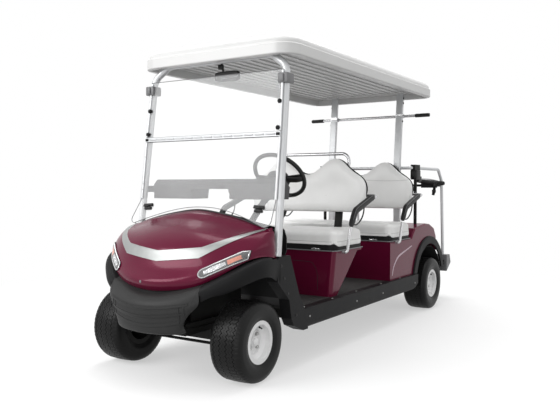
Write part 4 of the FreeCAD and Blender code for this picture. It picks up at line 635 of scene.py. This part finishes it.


# seams on the cushions and the rear backrest, in that darker grey: painted shade along each seam
SEAM_RISE, NARROW = 0.020, 0.0018
for row, shift in (("front", 0), ("rear", PITCH)):
    seam = Bag()
    tree = tree_of(bpy.data.objects[row + "_cushion_soft"].data)
    rise = c_low.z + SEAM_RISE
    across = spread(c_low.x + 0.03, c_high.x - 0.03, 90)
    stitch(seam, tree, [(x, c_low.y + shift - 0.1, rise) for x in across], (0, 1, 0))
    for hand in (1, -1):
        along = spread(c_low.y + shift + 0.035, c_high.y + shift - 0.035, 36)
        stitch(seam, tree, [(hand * 0.7, y, rise) for y in along], (-hand, 0, 0))
    along = spread(c_low.y + shift + 0.02, c_high.y + shift - 0.03, 36)
    stitch(seam, tree, [(0, y, 1) for y in along], (0, 0, -1), NARROW)
    seam.done(row + "_cushion_seams", SEAM_SHADE, row + "_lid")
seam = Bag()
starts = [(x, PITCH - 0.35, b_low.z + 0.262 + 0.004 * math.cos(x * 11)) for x in spread(-0.50, 0.50, 90)]
stitch(seam, tree_of(bpy.data.objects["rear_backrest_soft"].data), starts, (0, 1, 0), NARROW)
seam.done("rear_backrest_seams", SEAM_SHADE)

# windshield: edge channels, knobs, screws, latches and clamps
FOLD_TOP = 1.409     # the upper panel starts at this height


def on_glass(x, z):
    """The front face of the clear panel at a height."""
    return on_front("windshield_upper" if z > FOLD_TOP else "windshield_lower", x, z)


CHANNEL = [(-0.0075, -0.003), (0.0075, -0.003), (0.0075, 0.003), (0.004, 0.005), (-0.004, 0.005),
           (-0.0075, 0.003)]
KNOB = [(-0.012, 0.0115), (0.003, 0.0115), (0.005, 0.0135), (0.012, 0.0135), (0.015, 0.011), (0.0155, 0.003)]
FORWARD = Vector((0, -1, 0))
CLAMP_X, CLAMP_Z = 0.5203, 1.722
edge, knobs, screws, latch, clamps = Bag(), Bag(), Bag(), Bag(), Bag()
for hand in (1, -1):
    for z0, z1, x0, x1 in ((1.014, 1.378, 0.5225, 0.5225), (1.414, 1.768, 0.5220, 0.5130)):
        hits = [on_glass(hand * x, z) for x, z in zip(spread(x0, x1, 10), spread(z0, z1, 10))]
        sweep(edge, [p + FORWARD * 0.0015 for p, _ in hits], CHANNEL, FORWARD)
    for z in (1.586, 1.431):
        lathe(knobs, on_glass(hand * 0.508, z)[0], FORWARD, KNOB, 20)
    for z in (1.284, 1.107, 1.071):
        screw(screws, on_glass(hand * 0.519, z)[0] + FORWARD * 0.004, FORWARD, 0.0045, 0.003)
    # draw latch that holds the lower panel on the cowl
    at, _ = on_glass(hand * 0.431, 0.966)
    turn = Matrix.Rotation(math.radians(-7), 3, "X") @ Matrix.Rotation(math.radians(hand * 4), 3, "Y")
    for low, high, bevel in (((-0.036, -0.016, -0.008), (0.036, 0.001, 0.014), 0.004),
                             ((-0.024, -0.026, -0.028), (0.030, -0.004, -0.010), 0.005),
                             ((-0.030, -0.030, -0.006), (0.018, -0.014, 0.002), 0.003)):
        block(latch, at + Vector(low), at + Vector(high), bevel, turn, at)
    # clamp block where the upper panel folds and hooks to the hoop
    x, z = hand * CLAMP_X, CLAMP_Z
    block(clamps, (x - 0.034, AXLE + 0.256, z - 0.030), (x + 0.034, AXLE + 0.338, z + 0.030), 0.008)
    lathe(screws, (x, AXLE + 0.257, z), FORWARD, [(-0.002, 0.009), (0.003, 0.009), (0.005, 0.006)], 16)
    block(clamps, (x - 0.012, AXLE + 0.246, z - 0.022), (x + 0.012, AXLE + 0.262, z + 0.022), 0.004)
    # brackets of the fold bar
    x = hand * 0.512
    block(knobs, (x - 0.014, AXLE + 0.221, 1.386), (x + 0.014, AXLE + 0.2365, 1.404), 0.003)
edge.done("glass_channels", SILVER)
knobs.done("glass_knobs", BLACK)
screws.done("glass_screws", STEEL)
latch.done("glass_latches", GRIP)
clamps.done("hoop_clamps", GREY)

# the panels' polished edges: a line just inside the border of what faces forward
line = Bag()
for label in ("windshield_lower", "windshield_upper"):
    data, border = nodes[label].data, {}
    spots = [tuple(round(c, 4) for c in v.co) for v in data.vertices]
    for p in data.polygons:
        if p.normal.y < -0.3:
            ring = [spots[i] for i in p.vertices]
            for a, b in zip(ring, ring[1:] + ring[:1]):
                if border.pop((b, a), None) is None:
                    border[(a, b)] = 1
    follow = dict(border.keys())
    loop = [next(iter(follow))]
    while follow[loop[-1]] != loop[0]:
        loop.append(follow[loop[-1]])
    loop = [Vector(p) for p in loop]
    mid = sum(loop, Vector()) / len(loop)
    loop = [p + (mid - p).normalized() * 0.004 + FORWARD * 0.0008 for p in loop]
    sweep(line, loop, round_section(0.0022, 8), FORWARD, closed=True)
line.done("glass_edge_line", GREY)
hinge = Bag()
for x in spread(-0.46, 0.46, 12):
    lathe(hinge, (x - 0.030, AXLE + 0.2215, 1.3955), (1, 0, 0),
          [(0, 0.0042), (0.001, 0.005), (0.059, 0.005), (0.060, 0.0042)], 12)
hinge.done("fold_hinge", SILVER)

# mirror: rounded housing, its face, the clamp and the stem
housing, face = Bag(), Bag()
MIRROR_MID = Vector((0.0185, -1.107, 1.790))
LOOK = (Vector((1, 0, 0)), Vector((0, 0, 1)), Vector((0, 1, 0)))
stack(housing, MIRROR_MID, LOOK, oval(0.0965, 0.033, 4.5),
      [(0.80, -0.013), (0.94, -0.010), (1, -0.002), (1, 0.010), (0.97, 0.013)])
stack(face, MIRROR_MID, LOOK, oval(0.0890, 0.0265, 4.5), [(1, 0.0125), (1, 0.0135)])
block(housing, (-0.046, -1.118, 1.836), (-0.012, -1.096, 1.868), 0.004)
stem = [(-0.002, -1.107, 1.800), (-0.020, -1.107, 1.850), (-0.030, -1.107, 1.912)]
sweep(housing, stem, round_section(0.0075))
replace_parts(housing.done("mirror_housing", GRIP), "mirror")
face.done("mirror_glass", MIRROR)

# lamps: bright bezel, dark bed, faceted reflector, amber rear third, projectors, clear cover
LAMP_FRONT, LAMP_REAR, LAMP_HALF = Vector((0.322, 0, 0.622)), Vector((0.500, 0, 0.716)), 0.026
WAY = (LAMP_REAR - LAMP_FRONT).normalized()
UP = Vector((-WAY.z, 0, WAY.x))
BEZEL = [(-0.0040, 0), (-0.0025, 0.0028), (0.0, 0.0036), (0.0028, 0.0022), (0.0040, 0), (0, -0.002)]
PROJECTOR = [(0.0, 0.0095), (0.0016, 0.0092), (0.0018, 0.0075), (0.0008, 0.0060), (0.0022, 0.0040),
             (0.0028, 0.0010)]


def between(a, b, count, first=0):
    """Points from a towards b, which is left out."""
    return [a + (b - a) * k / count for k in range(first, count)]


def lamp_outline(scale):
    """The lamp's slim outline in front view: a round nose and a pointed tail."""
    half = LAMP_HALF * scale
    turns = spread(math.pi / 2, math.pi * 3 / 2, 12)
    out = [LAMP_FRONT + WAY * math.cos(a) * half + UP * math.sin(a) * half for a in turns]
    low, high = LAMP_REAR - UP * half, LAMP_REAR + UP * half
    tip = LAMP_REAR + WAY * (half * 1.2) + UP * (half * 0.5)
    out += between(LAMP_FRONT - UP * half, low, 12, 1)
    return out + between(low, tip, 5) + between(tip, high, 4) + between(high, LAMP_FRONT + UP * half, 12)


def lamp_band(start, length, count, half):
    """Outline of a band along the lamp; half gives its half width at each share of its length."""
    rows = [(LAMP_FRONT + WAY * (start + t * length), half(t)) for t in spread(0, 1, count)]
    return [p + UP * h for p, h in rows] + [p - UP * h for p, h in reversed(rows)]


def lamp_hit(p, hand):
    return on_front("headlamps", hand * p.x, p.z)


def panel(name, outline, hand, lift, finish, rings=5, shape=None):
    """A patch over an outline, set off the surface below it."""
    mid = sum(outline, Vector()) / len(outline)
    verts, faces, n = [], [], len(outline)
    for r in range(rings + 1):
        for p in outline:
            at, normal = lamp_hit(mid + (p - mid) * (1 - r / rings * 0.999), hand)
            verts.append(at + normal * (lift + (shape(r / rings) if shape else 0)))
    for r in range(rings):
        for i in range(n):
            j = (i + 1) % n
            faces.append((r * n + i, r * n + j, (r + 1) * n + j, (r + 1) * n + i))
    mesh(name, verts, faces, finish)


for hand, side_name in ((1, "left"), (-1, "right")):
    bezel, domes = Bag(), Bag()
    hits = [lamp_hit(p, hand) for p in lamp_outline(0.90)]
    sweep(bezel, [p + n * 0.0005 for p, n in hits], BEZEL, [n for _, n in hits], closed=True)
    bezel.done("lamp_bezel_" + side_name, CHROME)
    panel("lamp_dark_" + side_name, lamp_outline(0.86), hand, 0.0004, GAP)
    band = lamp_band(0.004, 0.112, 8, lambda t: 0.0085 + 0.0045 * math.sin(t * math.pi))
    panel("lamp_reflector_" + side_name, band, hand, 0.0012, REFLECTOR, 3, lambda r: -0.0006 * r)
    band = lamp_band(0.124, 0.066, 4, lambda t: 0.0125 - 0.0020 * t)
    panel("lamp_amber_" + side_name, band, hand, 0.0012, AMBER, 3)
    for along in (0.016, 0.050, 0.084):
        lathe(domes, *lamp_hit(LAMP_FRONT + WAY * along, hand), PROJECTOR, 20)
    domes.done("lamp_projectors_" + side_name, CHROME)
    panel("lamp_cover_" + side_name, lamp_outline(0.85), hand, 0.0032, LENS, 6,
          lambda r: 0.0022 * (1 - (1 - r) ** 2))

# nose: the lock, and the bumper's bars with near-black strips in the slots between them, painted shade
lock, dark, bars = Bag(), Bag(), Bag()
lathe(lock, *on_front("front_cowl", -0.055, 0.560),
      [(-0.002, 0.008), (0.0010, 0.008), (0.0018, 0.0065), (0.0006, 0.0055), (0.0005, 0.001)], 20)
for height, half, lift, what, reach in (
        (0.4395, 0.0035, 0.0010, dark, 0.285), (0.4280, 0.0060, 0.0030, bars, 0.283),
        (0.4040, 0.0105, 0.0006, dark, 0.262), (0.3815, 0.0065, 0.0030, bars, 0.262),
        (0.3560, 0.0085, 0.0006, dark, 0.240), (0.3320, 0.0100, 0.0034, bars, 0.236)):
    # each line rises a little towards its ends
    hits = [on_front("front_bumper", reach * t, height + 0.030 * t * t) for t in spread(-1, 1, 40)]
    strip(what, hits, half, lift, 0.004)
for hand in (1, -1):
    for x, z0, z1 in ((0.236, 0.365, 0.440), (0.262, 0.380, 0.455)):
        strip(bars, [on_front("front_bumper", hand * x, z) for z in spread(z0, z1, 8)], 0.005, 0.0035, 0.004)
dark.done("bumper_slot_shade", GAP)
bars.done("bumper_bars", BUMPER)
lock.done("nose_lock", GREY)

# steering wheel: the pad over its hub, and three spokes
hub, spokes = Bag(), Bag()
WHEEL = Vector((0.219, -0.800, 1.162))
DISC = (Vector((1, 0, 0)), Vector((0, -0.669, 0.743)), Vector((0, 0.743, 0.669)))
HUB_LAYERS = [(0.66, -0.052), (0.90, -0.046), (1.0, -0.034), (1.0, -0.014), (0.95, -0.004), (0.85, 0.001),
              (0.5, 0.005)]
SPOKE_PATH = ((0.045, -0.030), (0.09, -0.029), (0.14, -0.024), (0.170, -0.008))
stack(hub, WHEEL, DISC, oval(0.076, 0.058, 3.2, shift=(0, -0.010)), HUB_LAYERS)
for a, b, wide in ((1, -0.12, 2.3), (-1, -0.12, 2.3), (0, -1, 3.8)):
    way = DISC[0] * a + DISC[1] * b
    line = [WHEEL + way * r + DISC[2] * z for r, z in SPOKE_PATH]
    flat = [(x * wide, y) for x, y in round_section(0.0095, 12)]
    sweep(spokes, smooth_path(line, 5), flat, DISC[2], scale=[1.15 - 0.016 * i for i in range(16)])
hub.done("wheel_pad", GRIP, "helm")
spokes.done("wheel_spokes", GRIP, "helm")

# arm pads: a ridged cover whose ridges along the top edges are a lighter grey, a painted highlight, and the
# loop under it
PAD = [(-0.0175, -0.011), (-0.0135, -0.019), (0.0135, -0.019), (0.0175, -0.011), (0.0175, 0.010),
       (0.0120, 0.0205), (-0.0120, 0.0205), (-0.0175, 0.010)]
PAD_PATH = ((-0.438, 0.822), (-0.413, 0.858), (-0.389, 0.896), (-0.362, 0.922), (-0.325, 0.936),
            (-0.230, 0.967), (-0.130, 1.000), (-0.074, 1.015))
LOOP_PATH = ((-0.412, 0.850), (-0.388, 0.828), (-0.335, 0.830), (-0.275, 0.862), (-0.240, 0.905),
             (-0.228, 0.958))


def swelling(count, least, growth):
    """Scales along a sweep that grow from least at both ends to 1."""
    return [min(1, least + growth * min(i, count - 1 - i)) for i in range(count)]


pads, loops, ridges = Bag(), Bag(), Bag()
for shift in (0, PITCH):
    for x in (0.566, -0.566):
        line = smooth_path([(x, y + shift, z) for y, z in PAD_PATH], 4)
        sweep(pads, line, PAD, (0, -0.45, 0.9), scale=swelling(len(line), 0.7, 0.12))
        for side in (0.0135, -0.0135):
            sweep(ridges, [p + Vector((side, -0.008, 0.0165)) for p in line[3:-3]], round_section(0.0016, 6))
        sweep(loops, smooth_path([(x, y + shift, z) for y, z in LOOP_PATH], 6), round_section(0.0052, 8))
made = pads.done("arm_pad_covers", GRIP)
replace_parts(made, "arm_pads")
ridges.done("arm_pad_ridge_highlights", GREY)
loops.done("arm_pad_loops", GRIP)

# black shells on the backs of the backrests: the CAD pad's rear slice, drawn in
SHELL_WIDE, SHELL_TALL, SHELL_MID, SLICE = 0.972, 0.925, 0.215, 0.024
TILT = math.radians(7)
lean = Vector((0, math.cos(TILT), -math.sin(TILT)))
for row in ("front", "rear"):
    bm = bmesh.new()
    bm.from_mesh(nodes[row + "_backrest"].data)
    depth = max(v.co.dot(lean) for v in bm.verts)
    bmesh.ops.bisect_plane(bm, geom=bm.verts[:] + bm.edges[:] + bm.faces[:], plane_co=lean * (depth - SLICE),
                           plane_no=lean, clear_inner=True)
    for v in bm.verts:
        v.co.x *= SHELL_WIDE
        v.co.z = b_low.z + SHELL_MID + (v.co.z - b_low.z - SHELL_MID) * SHELL_TALL
        round_corners(v.co, b_high.x * SHELL_WIDE, b_low.z + 0.020)
    bmesh.ops.solidify(bm, geom=bm.faces[:], thickness=-0.003)
    data = bpy.data.meshes.new(row + "_backrest_shell")
    bm.to_mesh(data)
    bm.free()
    shell = bpy.data.objects.new(row + "_backrest_shell", data)
    scene.collection.objects.link(shell)
    keep(shell, BLACK)

# bag rack: brackets, rods, cradles and hanging straps; rubber grips on the bar above
brackets, rods, straps, buckles, grips = Bag(), Bag(), Bag(), Bag(), Bag()
CRADLE = ((0.200, 1.690, 1.158), (0.250, 1.712, 1.146), (0.340, 1.722, 1.132), (0.430, 1.712, 1.122),
          (0.500, 1.680, 1.120))
HANG = ((0.416, 1.690, 1.125), (0.412, 1.664, 1.085), (0.404, 1.672, 1.045), (0.396, 1.668, 1.006))
STRAP = [(-0.014, -0.0016), (0.014, -0.0016), (0.014, 0.0016), (-0.014, 0.0016)]
GRIP_RIBS = [(0.006 + 0.012 * k + d, 0.0165 - sunk) for k in range(10)
             for d, sunk in ((0, 0), (0.007, 0), (0.009, 0.0016))]
for hand in (1, -1):
    x = hand * 0.450
    block(brackets, (x - 0.030, 1.010, 1.150), (x + 0.030, 1.115, 1.236), 0.010)
    block(brackets, (x - 0.020, 1.095, 1.135), (x + 0.020, 1.170, 1.180), 0.008)
    for dx in (0.012, -0.012):
        rod = [(x + dx, 1.14, 1.160), (hand * 0.440 + dx, 1.40, 1.158), (hand * 0.420 + dx, 1.70, 1.142)]
        sweep(rods, smooth_path(rod, 6), round_section(0.005, 8))
    cradle = smooth_path([(hand * x, y, z) for x, y, z in CRADLE], 6)
    sweep(brackets, cradle, [(a * 0.75, b * 1.2) for a, b in round_section(0.019, 12)], (0, 0, 1),
          scale=swelling(len(cradle), 0.72, 0.1))
    sweep(straps, smooth_path([(hand * x, y, z) for x, y, z in HANG], 6), STRAP, (0, -1, 0.1))
    x = hand * 0.404
    block(buckles, (x - 0.019, 1.664, 1.030), (x + 0.019, 1.676, 1.058), 0.004)
    lathe(grips, (hand * 0.452, 1.041, 1.708), (hand, 0, 0),
          [(0, 0.0135)] + GRIP_RIBS + [(0.129, 0.0150), (0.131, 0.009)], 20)
brackets.done("bag_brackets", GRIP)
rods.done("bag_rods", CHROME)
straps.done("bag_straps", BLACK)
buckles.done("bag_buckles", GRIP)
grips.done("bar_grips", GRIP)

# screws and their recesses, and the tail lamps' rings
dark, bright, rings = Bag(), Bag(), Bag()
for hand in (1, -1):
    for y, z in ((-0.989, 0.294), (-0.331, 0.291), (0.116, 0.286), (0.777, 0.281)):
        at, n = on_side("sills", y, z, hand)
        lathe(dark, at, n, [(-0.001, 0.011), (0.0008, 0.011), (0.0012, 0.0095), (0.0004, 0.008)], 18)
        screw(bright, at, n, 0.0055, 0.002)
    for y, z in ((-1.334, 0.638), (-1.302, 0.563), (-1.262, 0.470), (-1.168, 0.330)):
        screw(dark, *on_side("front_fenders", y, z, hand), 0.0085, 0.0035)
    for y in (-1.010, -0.640, -0.279, 0.147, 0.520):
        screw(bright, *cast("sills", (hand * 0.531, y, 0.6), (0, 0, -1)), 0.0065, 0.003)
    for y, z in ((1.0156, 1.862), (1.0113, 1.820), (0.995, 1.660)):
        screw(dark, *on_side("rear_struts", y, z, hand), 0.009, 0.006)
    for z in (1.064, 1.088):
        screw(bright, *cast("dashboard", (hand * 0.503, -1.0, z), (0, -1, 0)), 0.007, 0.004)
    lathe(rings, (hand * 0.420, 1.398, 0.590), (0, 1, 0),
          [(0, 0.042), (0, 0.048), (0.006, 0.048), (0.009, 0.045), (0.004, 0.0395)], 40, closed=True)
dark.done("dark_screws", GRIP)
bright.done("bright_screws", STEEL)
rings.done("tail_lamp_rings", CHROME)

# pressed lines: the rear body's rising crease, in lighter paint as a painted highlight, the seat base's panel
# line, the sill joint, the cowl's gasket
crease, lines, gasket = Bag(), Bag(), Bag()
CREASE_PATH = ((0.365, 0.384), (0.386, 0.446), (0.446, 0.504), (0.498, 0.531), (0.572, 0.549), (0.780, 0.593))
BASE_LINE = ((0.195, 0.581), (0.335, 0.578), (0.366, 0.560), (0.393, 0.512), (0.401, 0.390))
for hand in (1, -1):
    rise = smooth_path([(0, y, z) for y, z in CREASE_PATH], 6)
    taper = [0.35 + 0.65 * math.sin(math.pi * k / (len(rise) - 1)) ** 0.5 for k in range(len(rise))]
    # a raised strip in lighter paint along the crease: a painted highlight
    strip(crease, [on_side("rear_body", p.y, p.z, hand) for p in rise], 0.0095, 0.0010, 0.003, taper)
    around = smooth_path([(x, 0, z) for x, z in BASE_LINE], 6)
    strip(lines, [on_front("front_seat_base", hand * p.x, p.z) for p in around], 0.0016, 0.0004, 0.0016)
    hits = [on_side("sills", -0.116, z, hand) for z in (0.236, 0.26, 0.29, 0.32, 0.338)]
    strip(lines, hits, 0.0012, 0.0004, 0.0014)
border = []
for k in range(-24, 25):
    # the cowl's rear edge is where a plumb line that moves forward first meets it
    for step in range(40):
        hit = meet(trees["front_cowl"], (k * 0.019, -1.366 - step * 0.003, 1.5), (0, 0, -1))
        if hit:
            border.append(hit[0] + Vector((0, 0.003, 0.001)))
            break
sweep(gasket, border, round_section(0.0065, 8), (0, 1, 0))
crease.done("rear_crease_highlights", CREASE_HIGHLIGHT)
lines.done("panel_lines", GAP)
gasket.done("cowl_gasket", GRIP)

# seat latches and the pans' lips
LIP = [(-0.002, -0.0035), (0.002, -0.0035), (0.002, 0.0035), (-0.002, 0.0035)]
LIP_PATH = [(0.531, -0.180), (0.531, -0.300), (0.531, -0.450), (0.531, -0.560), (0.524, -0.592),
            (0.510, -0.604)]
LIP_PATH += [(-x, y) for x, y in reversed(LIP_PATH)]
for row, shift in (("front", 0), ("rear", PITCH)):
    latch, catch, lip = Bag(), Bag(), Bag()
    at, _ = cast(row + "_pan", (0.385, shift - 1.4, 0.668), (0, 1, 0))
    block(latch, at + Vector((-0.032, -0.006, -0.005)), at + Vector((0.032, 0.002, 0.005)), 0.002)
    block(catch, at + Vector((-0.040, -0.003, -0.011)), at + Vector((0.040, 0.002, 0.007)), 0.002)
    sweep(lip, [(x, y + shift, 0.6585) for x, y in LIP_PATH], LIP, (0, 0, 1))
    latch.done(row + "_seat_latch", CHROME, row + "_lid")
    catch.done(row + "_seat_catch", GRIP, row + "_lid")
    lip.done(row + "_pan_lip", GREY, row + "_lid")

# ribbed pedal plates that face the driver, on stems from the liner; buffers on the rear bumper
plates, ribs, buffers = Bag(), Bag(), Bag()
PEDAL = (Vector((1, 0, 0)), Vector((0, -0.53, 0.85)), Vector((0, 0.85, 0.53)))
PEDAL_RIB = [(-0.0045, -0.002), (0.0045, -0.002), (0.0035, 0.0025), (-0.0035, 0.0025)]
for x in (0.150, 0.270):
    middle = Vector((x, -1.112, 0.424))
    stack(plates, middle, PEDAL, oval(0.038, 0.052, 6),
          [(0.94, -0.005), (1, -0.003), (1, 0.002), (0.96, 0.004)])
    root, _ = cast("front_liner", middle, -PEDAL[2])
    sweep(plates, [middle, root - PEDAL[2] * 0.004], round_section(0.008, 12))
    for k in range(6):
        at = middle + PEDAL[1] * (0.016 * k - 0.040) + PEDAL[2] * 0.0045
        sweep(ribs, [at - PEDAL[0] * 0.030, at + PEDAL[0] * 0.030], PEDAL_RIB, PEDAL[2])
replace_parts(plates.done("pedal_plates", STEEL), "pedals")
for z in (0.318, 0.350, 0.382):
    hits = [cast("rear_bumper", (x / 100, 2.4, z), (0, -1, 0)) for x in range(-48, 49, 4)]
    strip(buffers, hits, 0.011, 0.004, 0.008)
ribs.done("pedal_ribs", GRIP)
buffers.done("bumper_buffers", BLACK)

# rear wheel-arch liners and the tray under the nose, which close the view through the arches
ARCH_INNER, ARCH_OUTER, ARCH_RADIUS, ARCH_Y, ARCH_Z = 0.345, 0.526, 0.3150, AXLE + WHEELBASE, 0.2450
arch, tray = Bag(), Bag()
turns = [math.radians(a) for a in spread(-4, 184, 40)]
for hand in (1, -1):
    band = [Vector((0, ARCH_Y + ARCH_RADIUS * math.cos(a), ARCH_Z + ARCH_RADIUS * math.sin(a))) for a in turns]
    verts = [p + Vector((hand * x, 0, 0)) for p in band for x in (ARCH_INNER, ARCH_OUTER)]
    n = len(band)
    arch.add(verts, [(2 * i, 2 * i + 1, 2 * i + 3, 2 * i + 2) for i in range(n - 1)])
    arch.add([p + Vector((hand * ARCH_INNER, 0, 0)) for p in band], [tuple(range(n))])
verts = []
for k in range(9):
    y, z = -1.800 + k * 0.062, 0.300 + 0.030 * max(0, 1 - k / 3) ** 2
    verts += [(-0.222, y, z), (0.222, y, z)]
tray.add(verts, [(2 * k, 2 * k + 1, 2 * k + 3, 2 * k + 2) for k in range(8)])
for name, bag in (("rear_arch_liners", arch), ("nose_tray", tray)):
    thick = bag.done(name, FRAME, smooth=False).modifiers.new("thickness", "SOLIDIFY")
    thick.thickness = 0.003
joint = Bag()
for hand in (1, -1):
    slant = zip(spread(0.318, 0.298, 8), spread(0.535, 0.450, 8))
    strip(joint, [on_front("front_bumper", hand * x, z) for x, z in slant], 0.0025, 0.0006, 0.0016)
joint.done("bumper_joints", GAP)

# the inboard side of each rim gets the near-black frame paint: painted shade where it lies in the dark of its
# brake
for end in ("front", "rear"):
    for hand, sign in (("left", 1), ("right", -1)):
        label = "rim_" + end + "_" + hand
        rim, (low, high) = nodes[label].data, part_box(label)
        mid = (low + high) / 2
        rim.materials.append(FRAME)
        for p in rim.polygons:
            out = (p.center.x - mid.x) * sign
            inward = p.normal.y * (p.center.y - mid.y) + p.normal.z * (p.center.z - mid.z) < 0
            if out < 0.030 and (inward or p.normal.x * sign < -0.5):
                p.material_index = 1

# floor: keeps the shadow near the cart and turns to plain white further off; lit surfaces see it darker
bpy.ops.mesh.primitive_plane_add(size=60, location=(0, 0, 0))
floor = bpy.context.object
floor.name = "studio_floor"
ground = bpy.data.materials.new("ground")
ground.use_nodes = True
t = ground.node_tree
shader = t.nodes["Principled BSDF"]
shader.inputs["Roughness"].default_value = 0.9
shader.inputs["Specular IOR Level"].default_value = 0.0
tint = t.nodes.new("ShaderNodeMix")
tint.data_type = "RGBA"
tint.inputs["A"].default_value = (0.88, 0.88, 0.88, 1)
tint.inputs["B"].default_value = (0.30, 0.30, 0.30, 1)
t.links.new(rays(t, "Is Diffuse Ray"), tint.inputs["Factor"])
t.links.new(tint.outputs["Result"], shader.inputs["Base Color"])
glow = t.nodes.new("ShaderNodeEmission")
spot = t.nodes.new("ShaderNodeNewGeometry")
reach = t.nodes.new("ShaderNodeVectorMath")
reach.operation = "LENGTH"
far = t.nodes.new("ShaderNodeMapRange")
far.inputs["From Min"].default_value = 1.8
far.inputs["From Max"].default_value = 4.0
far.inputs["To Min"].default_value = 0.50
far.inputs["To Max"].default_value = 1.0
share = t.nodes.new("ShaderNodeMath")
share.operation = "MULTIPLY"
blend_in = t.nodes.new("ShaderNodeMixShader")
t.links.new(spot.outputs["Position"], reach.inputs[0])
t.links.new(reach.outputs["Value"], far.inputs["Value"])
t.links.new(far.outputs[0], share.inputs[0])
t.links.new(rays(t, *SEEN), share.inputs[1])
t.links.new(share.outputs[0], blend_in.inputs[0])
t.links.new(shader.outputs[0], blend_in.inputs[1])
t.links.new(glow.outputs[0], blend_in.inputs[2])
t.links.new(blend_in.outputs[0], t.nodes["Material Output"].inputs["Surface"])
floor.data.materials.append(ground)
